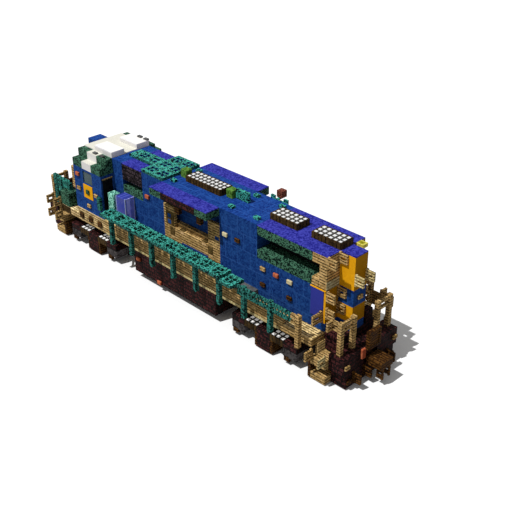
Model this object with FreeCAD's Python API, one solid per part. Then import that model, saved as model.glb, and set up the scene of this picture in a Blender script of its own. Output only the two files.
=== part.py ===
"""Six-axle hood-unit diesel locomotive in block-built style, one STEP per sub-part.

Millimetres, +X forward (cab end), +Y left, +Z up; origin on the ground under the middle.
Most forms lie on a grid of building blocks: lengths called "cells" are counted in blocks,
x cells from the rear platform's end face, y cells from the centre line, z cells from the ground.
"""
import os
import FreeCAD, Part

# ---- driving sizes, mm ----
BLOCK = 700.0            # edge of one building block
WALL = 90.0              # hood and cab wall thickness
RUN_GAP = 20.0           # between moving pieces and what is fixed
SEAT_GAP = 0.5           # body pivot over bogie bowl
JOURNAL_CLEARANCE = 0.08 # radial, axle in box and pin in bore

# ---- stations along the locomotive, cells ----
PLATFORM_END = 0.0       # rear platform's end face
PILLAR_REAR = 1.0
HOOD_REAR = 2.0
CORNER_FRONT = 3.0       # open corner ends, radiator bay begins
RADIATOR_FRONT = 7.0
HATCH_REAR = 10.0        # overhanging roof hatches
HATCH_FRONT = 15.0
LATTICE_FRONT = 17.0     # full-width roof lattice ends, side recess begins
RECESS_FRONT = 19.0
HOOD_FRONT = 20.0        # hood meets cab
CAB_FRONT = 23.0
NOSE_FRONT = 25.0
FRONT_END = 27.0
REAR_BOGIE = 5.5
FRONT_BOGIE = 21.5
TANK_REAR = 9.0
TANK_FRONT = 17.0
AXLE_SPACING = 2.0

# ---- half widths, cells ----
CORE_HALF = 0.5          # pillar, radiator core, fans
BAY_HALF = 1.0           # back wall of the side bays
HOOD_HALF = 1.5
BODY_HALF = 2.5
RAIL_LINE = 3.0          # handrail posts stand on this line

# ---- levels, cells ----
STEP_BOTTOM = 0.1
TANK_BOTTOM = 0.55
SILL_BOTTOM = 2.0
DECK = 2.5
SILL_TOP = 3.0
NOSE_TOP = 3.7
RAIL_TOP = 4.0
BAY_SILL = 5.0           # radiator bay, open corner and front recess start here
ROOF = 7.0

# ---- block details, cells ----
POST = 0.25
BAR = 0.125              # half of a post
PLATE = 0.1875           # lattice and trapdoor plates
SLAB = 0.5
TRIM = WALL / BLOCK      # roof plates let into the hood roof

# ---- running gear, mm ----
TREAD_R = 508.0
FLANGE_R = 536.0
FLANGE_W = 32.0
WHEEL_W = 140.0
BACK_TO_BACK = 1360.0
AXLE_R = 85.0
AXLE_SET_IN = 120.0      # axle's end inside the body's side
PIVOT_R = 160.0
PIVOT_DROP = 420.0
CENTRE_PLATE_R = 380.0
CENTRE_PLATE_T = 60.0

# ---- couplers ----
COUPLER_PIN = 0.8        # pivot behind the platform's end face, cells
COUPLER_REACH = 1.1      # head's face beyond the platform's end face, cells
COUPLER_PIN_R = 60.0
DRAWBAR_PIN_R = 35.0
POCKET_BOTTOM = 0.95     # cells
POCKET_TOP = 1.6
POCKET_HALF = 0.56

AXLE_Z = FLANGE_R / BLOCK
MIDDLE = (PLATFORM_END + FRONT_END) / 2.0
SIDES = (1.0, -1.0)
ENDS = (("rear", PLATFORM_END, 1), ("front", FRONT_END, -1))
Z = FreeCAD.Vector(0, 0, 1)
Y = FreeCAD.Vector(0, 1, 0)
os.makedirs("parts", exist_ok=True)


def vec(x, y, z):
    return FreeCAD.Vector(x, y, z)


def px(cell):
    """Grid station to millimetres along the locomotive."""
    return (cell - MIDDLE) * BLOCK


def box(x0, x1, y0, y1, z0, z1):
    """A box between two corners in millimetres, given in any order."""
    low = vec(min(x0, x1), min(y0, y1), min(z0, z1))
    return Part.makeBox(abs(x1 - x0), abs(y1 - y0), abs(z1 - z0), low)


def cells(x0, x1, y0, y1, z0, z1):
    """A box between two grid corners."""
    return box(px(x0), px(x1), y0 * BLOCK, y1 * BLOCK, z0 * BLOCK, z1 * BLOCK)


def both(x0, x1, y0, y1, z0, z1):
    """The same box on the left and on the right."""
    return [cells(x0, x1, s * y0, s * y1, z0, z1) for s in SIDES]


def fuse(shapes):
    shape = shapes[0]
    if len(shapes) > 1:
        shape = shape.fuse(shapes[1:]).removeSplitter()
    return shape


def cut(shape, tools):
    return shape.cut(fuse(tools)) if tools else shape


def write(node, shapes):
    """Write one node; a list keeps its solids apart."""
    shape = shapes[0] if len(shapes) == 1 else Part.makeCompound(shapes)
    shape.exportStep("parts/" + node + ".step")
    print(node, len(shape.Solids), shape.isValid(), round(shape.Volume / 1e9, 3))


def gate(x0, x1, y0, y1, base, along):
    """Frame bracket one block above base: hinge post at the first corner, two bars, end post."""
    def piece(start, end, low, high):
        if along == "x":
            return cells(x0 + (x1 - x0) * start, x0 + (x1 - x0) * end, y0, y1, base + low, base + high)
        return cells(x0, x1, y0 + (y1 - y0) * start, y0 + (y1 - y0) * end, base + low, base + high)
    return fuse([piece(0.0, 0.22, 0.3125, 1.0), piece(0.78, 1.0, 0.375, 0.9375),
                 piece(0.2, 0.8, 0.375, 0.5625), piece(0.2, 0.8, 0.75, 0.9375)])


def rails_x(x0, x1, y, base):
    """Two fence bars along x, one block above base."""
    half = BAR / 2
    return [cells(x0, x1, y - half, y + half, base + low, base + low + PLATE) for low in (0.375, 0.75)]


def rails_y(x, y0, y1, base):
    half = BAR / 2
    return [cells(x - half, x + half, y0, y1, base + low, base + low + PLATE) for low in (0.375, 0.75)]


def post(x, y, z0, z1):
    return cells(x - POST / 2, x + POST / 2, y - POST / 2, y + POST / 2, z0, z1)


# ---------------------------------------------------------------- underframe and tank
SILL_REAR = 4.0
SILL_FRONT = 23.9


def underframe():
    deck = cells(HOOD_REAR, NOSE_FRONT, -BODY_HALF, BODY_HALF, SILL_BOTTOM, DECK)
    sills = both(SILL_REAR, SILL_FRONT, BODY_HALF - PLATE, BODY_HALF, DECK, SILL_TOP)
    pins = []
    for bogie in (REAR_BOGIE, FRONT_BOGIE):
        base = vec(px(bogie), 0, SILL_BOTTOM * BLOCK - PIVOT_DROP)
        pins.append(Part.makeCylinder(PIVOT_R, PIVOT_DROP, base, Z))
        base = vec(px(bogie), 0, SILL_BOTTOM * BLOCK - CENTRE_PLATE_T)
        pins.append(Part.makeCylinder(CENTRE_PLATE_R, CENTRE_PLATE_T, base, Z))
    return [fuse([deck] + sills + pins)]


def tank():
    return [cells(TANK_REAR, TANK_FRONT, -BODY_HALF, BODY_HALF, TANK_BOTTOM, SILL_BOTTOM)]


# ---------------------------------------------------------------- hood
def shell(x0, x1, z0, z1, rear_wall, front_wall):
    """Hollow hood section open at the bottom, with walls at the ends that ask for one."""
    outer = cells(x0, x1, -HOOD_HALF, HOOD_HALF, z0, z1)
    inner = cells(x0 + (TRIM if rear_wall else 0), x1 - (TRIM if front_wall else 0),
                  -HOOD_HALF + TRIM, HOOD_HALF - TRIM, z0, z1 - TRIM)
    return outer.cut(inner)


def with_bays(hood, x0, x1, z0, front_wall):
    """Side bays sunk to BAY_HALF on both sides, each with its own back, end and bottom wall."""
    front = TRIM if front_wall else 0
    tubs = both(x0 - TRIM, x1 + front, BAY_HALF - TRIM, HOOD_HALF, z0 - TRIM, ROOF)
    bays = both(x0, x1 + (0 if front_wall else 1), BAY_HALF, HOOD_HALF + 1, z0, ROOF - TRIM)
    return fuse([hood] + tubs).cut(fuse(bays))


def end_wall():
    """Yellow end wall with the core part above it and the end pillar's two yellow lengths."""
    return fuse([cells(HOOD_REAR, HOOD_REAR + TRIM, -HOOD_HALF, HOOD_HALF, SILL_TOP, BAY_SILL),
                 cells(HOOD_REAR, CORNER_FRONT, -CORE_HALF, CORE_HALF, BAY_SILL, ROOF - TRIM),
                 cells(PILLAR_REAR, HOOD_REAR, -CORE_HALF, CORE_HALF, BAY_SILL, ROOF - TRIM),
                 cells(PILLAR_REAR, HOOD_REAR, -CORE_HALF, CORE_HALF, SILL_TOP, RAIL_TOP)])


def radiator_hood():
    hood = shell(HOOD_REAR, RADIATOR_FRONT, DECK, BAY_SILL, True, False)
    foot = cells(HOOD_REAR, HOOD_REAR + TRIM, -HOOD_HALF, HOOD_HALF, DECK, SILL_TOP)
    return [fuse([hood, foot]).cut(cells(HOOD_REAR, HOOD_REAR + TRIM, -HOOD_HALF, HOOD_HALF,
                                         SILL_TOP, BAY_SILL))]


def engine_hood():
    hood = shell(RADIATOR_FRONT, HATCH_FRONT, DECK, ROOF, True, False)
    below = cells(RADIATOR_FRONT, RADIATOR_FRONT + TRIM, -HOOD_HALF + TRIM, HOOD_HALF - TRIM,
                  DECK, BAY_SILL - TRIM)
    return [with_bays(hood.cut(below), HATCH_REAR, HATCH_FRONT, SILL_TOP, False)]


def front_hood():
    hood = shell(HATCH_FRONT, HOOD_FRONT, DECK, ROOF, True, False)
    hood = with_bays(hood, LATTICE_FRONT, RECESS_FRONT, BAY_SILL, True).cut(fuse(front_plates()))
    stations = (HATCH_FRONT, LATTICE_FRONT - TRIM, RECESS_FRONT + TRIM, HOOD_FRONT)
    levels = (DECK, BAY_SILL - TRIM, ROOF)
    return [hood.common(cells(x0, x1, -HOOD_HALF, HOOD_HALF, z0, z1))
            for x0, x1 in zip(stations, stations[1:]) for z0, z1 in zip(levels, levels[1:])]


def front_plates():
    return both(LATTICE_FRONT, RECESS_FRONT, CORE_HALF, HOOD_HALF, ROOF - TRIM, ROOF)


def trim_plates():
    """Indigo roof plates and the indigo panel on each rear corner."""
    rear = fuse([cells(HOOD_REAR, RADIATOR_FRONT, -HOOD_HALF, HOOD_HALF, ROOF - TRIM, ROOF),
                 cells(PILLAR_REAR, HOOD_REAR, -CORE_HALF, CORE_HALF, ROOF - TRIM, ROOF)])
    panels = both(HOOD_REAR + 0.3, CORNER_FRONT, HOOD_HALF, HOOD_HALF + 0.04,
                  SILL_TOP + 0.25, BAY_SILL - 0.05)
    return [rear] + front_plates() + panels


HATCH_BEAM = ROOF - SLAB
HOOK = (0.375, 0.25)


def hatches():
    return both(HATCH_REAR, HATCH_FRONT, HOOD_HALF, BODY_HALF, ROOF - TRIM, ROOF)


def hatch_beams():
    """Maroon middle of each hatch beam with two hooks under it."""
    out = []
    for s in SIDES:
        beam = cells(HATCH_REAR + 1, HATCH_FRONT - 1, s * HOOD_HALF, s * BODY_HALF,
                     HATCH_BEAM, ROOF - TRIM)
        y = s * (HOOD_HALF + BODY_HALF) / 2
        hooks = [cells(x - HOOK[0] / 2, x + HOOK[0] / 2, y - HOOK[1] / 2, y + HOOK[1] / 2,
                       HATCH_BEAM - 0.75, HATCH_BEAM)
                 for x in (HATCH_REAR + 1.1, HATCH_FRONT - 2.0)]
        out.append(fuse([beam] + hooks))
    return out


SHELF_TOP = BAY_SILL + SLAB
STRIP_BOTTOM = ROOF - 0.6
STRIP_TOP = ROOF - TRIM


def green_panels():
    """Hatch end blocks, radiator shelves and strips, front recess shelves."""
    out = []
    for rear in (HATCH_REAR, HATCH_FRONT - 1):
        out += both(rear, rear + 1, HOOD_HALF, BODY_HALF, HATCH_BEAM, ROOF - TRIM)
    out += both(CORNER_FRONT, RADIATOR_FRONT, CORE_HALF, HOOD_HALF, BAY_SILL, SHELF_TOP)
    out += both(CORNER_FRONT, RADIATOR_FRONT, CORE_HALF, HOOD_HALF, STRIP_BOTTOM, STRIP_TOP)
    out += both(LATTICE_FRONT, RECESS_FRONT, BAY_HALF, HOOD_HALF, BAY_SILL, SHELF_TOP)
    return out


def engine():
    """Plain blocks for what the hood holds: engine and radiator core."""
    return [cells(HATCH_REAR - 2, HATCH_FRONT - SLAB, -0.8, 0.8, DECK, ROOF - 1.3),
            cells(CORNER_FRONT, RADIATOR_FRONT, -CORE_HALF, CORE_HALF, BAY_SILL, ROOF - TRIM)]


def corner_frame(s):
    """Open tan corner beside the core: lower slab, column, upper slab."""
    y0, y1 = s * CORE_HALF, s * HOOD_HALF
    return fuse([cells(HOOD_REAR, CORNER_FRONT, y0, y1, BAY_SILL, SHELF_TOP),
                 cells(HOOD_REAR, HOOD_REAR + SLAB, y0, y1, SHELF_TOP, STRIP_BOTTOM),
                 cells(HOOD_REAR, CORNER_FRONT, y0, y1, STRIP_BOTTOM, STRIP_TOP)])


def bay_lining(s):
    """Tan stepped planking in the hatch bay, its rear panel and the front panel with two holes."""
    middle = (BAY_HALF + HOOD_HALF) / 2
    back = cells(HATCH_REAR, HATCH_FRONT, s * BAY_HALF, s * middle, SILL_TOP, SILL_TOP + 1.55)
    front = cells(HATCH_REAR, HATCH_FRONT, s * middle, s * HOOD_HALF, SILL_TOP, SILL_TOP + 1.25)
    panels = [cells(x, x + 1, s * (HOOD_HALF - PLATE), s * HOOD_HALF, SILL_TOP + 1.2, high)
              for x, high in ((HATCH_REAR, BAY_SILL + 0.85), (HATCH_FRONT - 1, BAY_SILL + 0.6))]
    holes = [cells(HATCH_FRONT - 0.65, HATCH_FRONT - 0.4, s * BAY_HALF, s * BODY_HALF, z, z + 0.22)
             for z in (RAIL_TOP + 0.42, RAIL_TOP + 0.82)]
    return fuse([back, front] + panels).cut(fuse(holes))


def plank_frames():
    return [corner_frame(s) for s in SIDES] + [bay_lining(s) for s in SIDES]


GRILLE_BOTTOM = ROOF - 1.1


def recess_grilles():
    return both(LATTICE_FRONT, RECESS_FRONT, HOOD_HALF - PLATE, HOOD_HALF, GRILLE_BOTTOM, ROOF - TRIM)


# ---------------------------------------------------------------- pillars at both ends
def end_pillars():
    """Yellow lengths; the front pillar stands on the nose against the cab."""
    front = [cells(CAB_FRONT, CAB_FRONT + 1, -CORE_HALF, CORE_HALF, low, high)
             for low, high in ((NOSE_TOP, RAIL_TOP), (BAY_SILL, ROOF - TRIM))]
    return [end_wall()] + front


def pillar_bands():
    """Blue foot and band of the rear pillar, blue band and cap of the front pillar."""
    out = []
    for x, low, high in ((PILLAR_REAR, SILL_BOTTOM, SILL_TOP), (PILLAR_REAR, RAIL_TOP, BAY_SILL),
                         (CAB_FRONT, RAIL_TOP, BAY_SILL), (CAB_FRONT, ROOF - TRIM, ROOF)):
        out.append(cells(x, x + 1, -CORE_HALF, CORE_HALF, low, high))
    return out


# ---------------------------------------------------------------- roof
# name, rear end and length in cells
FANS = (("rear", 2.0, 2.0), ("second", 5.0, 2.0), ("centre", 11.0, 3.0))
FAN_HEIGHT = 0.375       # above the roof, cells
FAN_WALL = 60.0          # mm
ROTOR_R = 255.0
ROTOR_HUB_R = 80.0
ROTOR_PIN_R = 30.0
ROTOR_LIFT = 84.0        # hub's underside above the roof
HUB_HEIGHT = 90.0
BLADES = 6


def fan_box(rear, length):
    t = FAN_WALL / BLOCK
    outer = cells(rear, rear + length, -CORE_HALF, CORE_HALF, ROOF, ROOF + FAN_HEIGHT)
    inner = cells(rear + t, rear + length - t, -CORE_HALF + t, CORE_HALF - t,
                  ROOF + t / 2, ROOF + FAN_HEIGHT)
    pin = Part.makeCylinder(ROTOR_PIN_R, FAN_HEIGHT * BLOCK * 0.6,
                            vec(px(rear + length / 2), 0, ROOF * BLOCK + FAN_WALL / 2 - 1), Z)
    return fuse([outer.cut(inner), pin])


def fan_rotor(rear, length):
    x = px(rear + length / 2)
    low = ROOF * BLOCK + ROTOR_LIFT
    blades = [Part.makeCylinder(ROTOR_HUB_R, HUB_HEIGHT, vec(x, 0, low), Z)]
    for k in range(BLADES):
        blade = box(x + ROTOR_HUB_R - 20, x + ROTOR_R, -45, 45, low + 35, low + 55)
        blade.rotate(vec(x, 0, low), Z, 360.0 / BLADES * k)
        blades.append(blade)
    bore = Part.makeCylinder(ROTOR_PIN_R + JOURNAL_CLEARANCE, HUB_HEIGHT + 100, vec(x, 0, low - 50), Z)
    return [fuse(blades).cut(bore)]


def roof_lattice():
    return [fuse([cells(HATCH_FRONT, LATTICE_FRONT, -HOOD_HALF, HOOD_HALF, ROOF, ROOF + PLATE),
                  cells(LATTICE_FRONT, RECESS_FRONT + 0.5, -CORE_HALF, CORE_HALF, ROOF, ROOF + PLATE)])]


BELL_X = 8.5
BELL_Y = -2.0


BELL_HALF = 0.215


def roof_boxes():
    """Two green cubes beside the centre fan, the bell cube, the marker lamp."""
    cubes = [cells(x - 0.25, x + 0.25, -0.25, 0.25, ROOF, ROOF + SLAB) for x in (10.5, 14.5)]
    cubes.append(cells(BELL_X - BELL_HALF, BELL_X + BELL_HALF, BELL_Y - BELL_HALF, BELL_Y + BELL_HALF,
                       ROOF, ROOF + 2 * BELL_HALF))
    cubes.append(cells(HOOD_REAR - 0.55, HOOD_REAR, -1.15, -0.66, ROOF - 0.2, ROOF + 0.05))
    return cubes


LUG = (0.375, 0.25, 0.15)
LUG_STATIONS = (7.5, 9.5, 14.5)


def roof_brackets():
    """Lifting lugs, upright plate on the roof, bracket that carries the bell cube."""
    out = []
    for x in LUG_STATIONS:
        out += both(x - LUG[0] / 2, x + LUG[0] / 2, 1 - LUG[1] / 2, 1 + LUG[1] / 2, ROOF, ROOF + LUG[2])
    out.append(cells(9.2, 10.2, -PLATE, 0.0, ROOF, ROOF + 0.6))
    side = -HOOD_HALF
    out.append(fuse([cells(BELL_X - 0.9, BELL_X + 0.4, side - BAR, side, ROOF - 0.2, ROOF),
                     cells(BELL_X - 0.08, BELL_X + 0.08, BELL_Y, side - BAR, ROOF - 0.08, ROOF),
                     cells(BELL_X - 0.9, BELL_X - 0.6, side - BAR, side, ROOF, ROOF + 0.2),
                     cells(BELL_X + 0.1, BELL_X + 0.4, side - BAR, side, ROOF, ROOF + 0.2)]))
    return out


# ---------------------------------------------------------------- cab
DOORWAY_IN = HOOD_HALF + 0.08    # cells from the centre line
DOORWAY_OUT = BODY_HALF - 0.12
DOORWAY_TOP = ROOF - 1.2
WINDOW_BOTTOM = ROOF - 2.0
WINDOW_TOP = ROOF - 1.15
FRONT_WINDOW = (0.7, 2.2)        # inner and outer edge from the centre line, cells
GLASS = 0.03
DOOR_T = 45.0
DOOR_SET_IN = 14.0               # door's outer face behind the wall's
DOOR_GAP = 12.0
HINGE_R = 9.0
HINGE_IN = 15.0                  # hinge line from the door's inner face and edge
HINGE_PIN = 60.0                 # pin's length inside the door


def hinge_line(side):
    """Hinge line's x and y, at the doorway's inboard edge."""
    return (px(HOOD_FRONT) + DOOR_SET_IN + DOOR_T - HINGE_IN,
            side * (DOORWAY_IN * BLOCK + DOOR_GAP + HINGE_IN))


def cab_openings(depth):
    """Side and front window openings, depth cells deep from the cab's outer faces."""
    sides = both(HOOD_FRONT + 1, HOOD_FRONT + 2, BODY_HALF - depth, BODY_HALF, WINDOW_BOTTOM, WINDOW_TOP)
    front = both(CAB_FRONT - depth, CAB_FRONT, FRONT_WINDOW[0], FRONT_WINDOW[1], WINDOW_BOTTOM, WINDOW_TOP)
    return sides + front


def cab():
    eaves = ROOF - 1
    outer = cells(HOOD_FRONT, CAB_FRONT, -BODY_HALF, BODY_HALF, SILL_TOP, eaves)
    outer = outer.fuse(cells(HOOD_FRONT, CAB_FRONT, -HOOD_HALF, HOOD_HALF, eaves, ROOF))
    inner = cells(HOOD_FRONT + TRIM, CAB_FRONT - TRIM, -BODY_HALF + TRIM, BODY_HALF - TRIM,
                  SILL_TOP + TRIM, eaves - TRIM)
    inner = inner.fuse(cells(HOOD_FRONT + TRIM, CAB_FRONT - TRIM, -HOOD_HALF + TRIM, HOOD_HALF - TRIM,
                             eaves - TRIM - 0.01, ROOF - TRIM))
    doors = [cells(HOOD_FRONT, HOOD_FRONT + TRIM, s * DOORWAY_IN, s * DOORWAY_OUT,
                   SILL_TOP + TRIM, DOORWAY_TOP) for s in SIDES]
    walls = cut(outer.cut(inner), cab_openings(TRIM) + doors)
    pins = [Part.makeCylinder(HINGE_R, DOOR_GAP + HINGE_PIN, vec(*hinge_line(s), z), Z)
            for s in SIDES
            for z in ((SILL_TOP + TRIM) * BLOCK, DOORWAY_TOP * BLOCK - DOOR_GAP - HINGE_PIN)]
    return [fuse([walls] + pins)]


def cab_windows():
    inner = WALL / BLOCK - 0.04
    return [pane.cut(fuse(cab_openings(inner - GLASS))) for pane in cab_openings(inner)]


def stair(x0, x1, s):
    """Stair-shaped block over the cab's side: low half outboard, high half inboard."""
    middle = (HOOD_HALF + BODY_HALF) / 2
    return fuse([cells(x0, x1, s * HOOD_HALF, s * BODY_HALF, ROOF - 1, ROOF - SLAB),
                 cells(x0, x1, s * HOOD_HALF, s * middle, ROOF - SLAB, ROOF)])


ROOF_SHEET = 0.0625


def cab_roof():
    slabs = [cells(HOOD_FRONT, CAB_FRONT, -HOOD_HALF, HOOD_HALF, ROOF, ROOF + ROOF_SHEET)]
    slabs += both(HOOD_FRONT, CAB_FRONT - 1.2, CORE_HALF, HOOD_HALF, ROOF, ROOF + FAN_HEIGHT)
    return [fuse(slabs)] + [stair(HOOD_FRONT + 1, HOOD_FRONT + 2, s) for s in SIDES]


def cab_brows():
    return [stair(x, x + 1, s) for s in SIDES for x in (HOOD_FRONT, HOOD_FRONT + 2)]


def nose():
    return [cells(CAB_FRONT, NOSE_FRONT, -HOOD_HALF, HOOD_HALF, DECK, NOSE_TOP)]


def cab_door(side):
    x = px(HOOD_FRONT) + DOOR_SET_IN
    low = SILL_TOP * BLOCK + WALL + DOOR_GAP
    high = DOORWAY_TOP * BLOCK - DOOR_GAP
    leaf = box(x, x + DOOR_T, side * (DOORWAY_IN * BLOCK + DOOR_GAP),
               side * (DOORWAY_OUT * BLOCK - DOOR_GAP), low, high)
    bore = Part.makeCylinder(HINGE_R + JOURNAL_CLEARANCE, high - low + 2, vec(*hinge_line(side), low - 1), Z)
    return [leaf.cut(bore)]


# ---------------------------------------------------------------- railings
SIDE_POSTS = [4.5 + 2 * k for k in range(8)]
RAIL_TILE_REAR = 7.0     # the lattice's last tile lies one plate lower
LATTICE_REAR = 8.0


STAY_REACH = 0.6         # a post's stay runs this far forward to meet the sill
STAY_HALF = 0.07


def rail_post(x, side):
    """A handrail post with the slanting stay that bolts it to the deck's edge."""
    low = (SILL_BOTTOM + 0.05) * BLOCK
    corners = [(x - STAY_HALF, RAIL_LINE), (x + STAY_HALF, RAIL_LINE),
               (x + STAY_REACH + STAY_HALF, BODY_HALF), (x + STAY_REACH - STAY_HALF, BODY_HALF)]
    ring = [vec(px(cx), side * cy * BLOCK, low) for cx, cy in corners]
    face = Part.Face(Part.makePolygon(ring + ring[:1]))
    stay = face.extrude(vec(0, 0, 0.15 * BLOCK))
    return [post(x, side * RAIL_LINE, SILL_BOTTOM, RAIL_TOP), stay]


# rear, front, inner, outer, bottom, top
FRONT_BOX = (NOSE_FRONT - 1, NOSE_FRONT, 1.65, BODY_HALF, DECK, SILL_TOP + SLAB)


def front_rail(side):
    """Teal rail over the front steps, from the green box to the tan end post."""
    y = side * 2.0
    end = FRONT_END - 0.5 - POST / 2
    rail = fuse([post(NOSE_FRONT - SLAB, y, SILL_TOP, RAIL_TOP), post(NOSE_FRONT + SLAB, y, SILL_TOP, RAIL_TOP)]
                + rails_x(NOSE_FRONT - SLAB, end, y, SILL_TOP))
    x0, x1, y0, y1, z0, z1 = FRONT_BOX
    return rail.cut(cells(x0, x1, side * y0, side * y1, z0, z1))


def rail_posts():
    out = []
    for s in SIDES:
        first = []
        for x in SIDE_POSTS[:2]:
            first += rail_post(x, s)
        out.append(fuse(first + rails_x(CORNER_FRONT, RAIL_TILE_REAR, s * RAIL_LINE, SILL_TOP)))
        out += [fuse(rail_post(x, s)) for x in SIDE_POSTS[2:]]
        out.append(front_rail(s))
    # grab post at each rear corner of the cab
    out += both(HOOD_FRONT + 0.05, HOOD_FRONT + 0.35, BODY_HALF, BODY_HALF + 0.2,
                RAIL_TOP - 0.35, RAIL_TOP + 0.55)
    return out


def rail_tops():
    tiles = []
    for s in SIDES:
        inner, outer = s * BODY_HALF, s * (BODY_HALF + 1)
        tiles.append(fuse([cells(LATTICE_REAR, RECESS_FRONT, inner, outer, RAIL_TOP, RAIL_TOP + PLATE),
                           cells(RAIL_TILE_REAR, LATTICE_REAR + 0.2, inner, outer, RAIL_TOP - PLATE, RAIL_TOP)]))
    return tiles


# ---------------------------------------------------------------- end platforms and steps
UPPER_HALF = BODY_HALF - 0.25
LOWER_HALF = BODY_HALF - 0.5
LOWER_LENGTH = 1.4
BODY_LENGTH = 2.6        # platform's middle reaches this far inward, under the deck
STAND = (1.0, 1.4, -1.25, -0.66)


def platform(name, end, way):
    """Maroon end platform; way is +1 where cells grow inward from the end."""
    x = lambda d: end + way * d
    shapes = [cells(x(0), x(BODY_LENGTH), -HOOD_HALF, HOOD_HALF, 1.0, SILL_BOTTOM),
              cells(x(0), x(1), -UPPER_HALF, UPPER_HALF, 1.0, SILL_BOTTOM),
              cells(x(0), x(1), -LOWER_HALF, LOWER_HALF, STEP_BOTTOM, 1.0),
              cells(x(0), x(LOWER_LENGTH), -HOOD_HALF, HOOD_HALF, STEP_BOTTOM, 1.0)]
    if name == "rear":
        shapes.append(cells(x(STAND[0]), x(STAND[1]), STAND[2], STAND[3], SILL_BOTTOM, SILL_TOP + 0.25))
    pocket = cells(x(-0.1), x(1.2), -POCKET_HALF, POCKET_HALF, POCKET_BOTTOM, POCKET_TOP)
    pin = Part.makeCylinder(COUPLER_PIN_R, (POCKET_TOP - POCKET_BOTTOM) * BLOCK,
                            vec(px(x(COUPLER_PIN)), 0, POCKET_BOTTOM * BLOCK), Z)
    return fuse([fuse(shapes).cut(pocket), pin])


def end_rails(name, end, way):
    """Two posts and two bars on each side of the platform; rear ones also tie the step gates."""
    out = []
    x = end + way * 0.5
    for s in SIDES:
        rail = [post(x, s * y, SILL_BOTTOM, RAIL_TOP) for y in (1.0, 2.0)]
        rail += rails_y(x, s * 1.0, s * 2.0, SILL_TOP)
        if name == "rear":
            rail += rails_x(x, end + 1.05, s * 2.0, SILL_TOP)
            rail.append(gate(end + 1.0, end + 1.0 + BAR, s * (2.0 - BAR / 2), s * 2.44, SILL_TOP, "y"))
        out.append(fuse(rail))
    return out


def step_gates(s):
    """Tan gate on the hood's side at the rear steps, and the tan post where the side rail begins."""
    entry_x = HOOD_REAR + 0.15
    entry = gate(entry_x, entry_x + BAR, s * HOOD_HALF, s * (HOOD_HALF + 0.75), SILL_TOP - 0.25, "y")
    corner_x = HOOD_REAR + SLAB
    corner = fuse([post(corner_x, s * RAIL_LINE, SILL_BOTTOM, RAIL_TOP)]
                  + rails_x(corner_x, CORNER_FRONT, s * RAIL_LINE, SILL_TOP))
    return [entry, corner]


def steps(end, way):
    out = []
    for low in (STEP_BOTTOM, 1.0):
        high = SLAB if low < 1 else 1.0 + SLAB
        out += both(end + way * 1.0, end + way * 2.0, HOOD_HALF, BODY_HALF, low, high)
    return out


# y columns of the brackets at each side: the two faces of one block
BRACKET_COLUMNS = ((CORE_HALF, CORE_HALF + BAR), (HOOD_HALF - BAR, HOOD_HALF))
GATE_REACH = 0.56


def frame_brackets():
    """Tan gate-like brackets on the end wall, the pillars and the steps."""
    out = []
    for s in SIDES:
        for y0, y1 in BRACKET_COLUMNS:
            for base in (3.0, 4.0, 6.0) if s > 0 else (3.0, 4.0):
                out.append(gate(HOOD_REAR, HOOD_REAR - GATE_REACH, s * y0, s * y1, base, "x"))
        for face, way in ((PILLAR_REAR, -1), (CAB_FRONT + 1, 1)):
            out.append(gate(face, face + way * GATE_REACH, s * (CORE_HALF - BAR), s * CORE_HALF, 5.0, "x"))
        for name, end, way in ENDS:
            for d in (1.0, 2.0 - BAR):
                x0, x1 = end + way * d, end + way * (d + BAR)
                outer = s * (BODY_HALF + GATE_REACH)
                plate = [gate(x0, x1, s * BODY_HALF, outer, 1.0, "y")]
                if name == "front":
                    plate.append(gate(x0, x1, s * BODY_HALF, outer, 2.0, "y"))
                    plate.append(cells(x0, x1, s * BODY_HALF, s * (BODY_HALF + BAR), 1.9, 2.4))
                out.append(fuse(plate))
            x0, x1 = end + way * 2.0, end + way * (2.0 + BAR)
            out.append(gate(x0, x1, s * HOOD_HALF, s * (HOOD_HALF + SLAB), 1.0, "y"))
    return out


def pilot_plates():
    """Brown plates of both ends: gates on the pilot, plate over the coupler, step side plates."""
    out = []
    for name, end, way in ENDS:
        out.append(cells(end - way * PLATE, end, -CORE_HALF, CORE_HALF, SILL_BOTTOM - 0.1, SILL_TOP))
        out += both(end + way * 2.0, end + way * (2.0 + PLATE), HOOD_HALF, BODY_HALF, STEP_BOTTOM, 1.0)
        for s in SIDES:
            for y0, y1 in BRACKET_COLUMNS:
                out.append(gate(end, end - way * GATE_REACH, s * y0, s * y1, 0.0, "x"))
    return out


# ---------------------------------------------------------------- latches and walkway equipment
LATCH = (0.375, 0.25, 0.125)     # width, height, how far it stands out
HOOD_LATCHES = ((4.5, 3.5), (6.5, 3.5), (4.5, 4.5), (5.5, 4.5), (6.5, 4.5), (8.5, 5.5), (9.5, 5.5), (16.5, 5.5))
CAB_LATCHES = ((22.5, 5.5), (22.5, 4.5), (21.5, 3.5), (20.6, 4.5))
LOW_LATCHES = ((14.5, 0.75), (16.5, 1.5), (20.5, 2.5), (21.5, 2.5), (22.5, 2.5))
# x of the face, y, z
END_LATCHES = ((0.0, 2.0, 1.5), (0.0, -2.0, 1.5), (0.0, 1.8, 0.5), (0.0, -1.8, 0.5), (1.0, 0.0, 4.5))
LAMP_BOX = (-0.15, 0.0, 0.6, 0.9, 1.5, 2.1)


def latches():
    out = []
    for half, spots in ((HOOD_HALF, HOOD_LATCHES), (BODY_HALF, CAB_LATCHES), (BODY_HALF, LOW_LATCHES)):
        for x, z in spots:
            out += both(x - LATCH[0] / 2, x + LATCH[0] / 2, half, half + LATCH[2],
                        z - LATCH[1] / 2, z + LATCH[1] / 2)
    for x, y, z in END_LATCHES:
        out.append(cells(x - LATCH[2], x, y - LATCH[0] / 2, y + LATCH[0] / 2,
                         z - LATCH[1] / 2, z + LATCH[1] / 2))
    out.append(cells(*LAMP_BOX))
    return out


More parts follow.
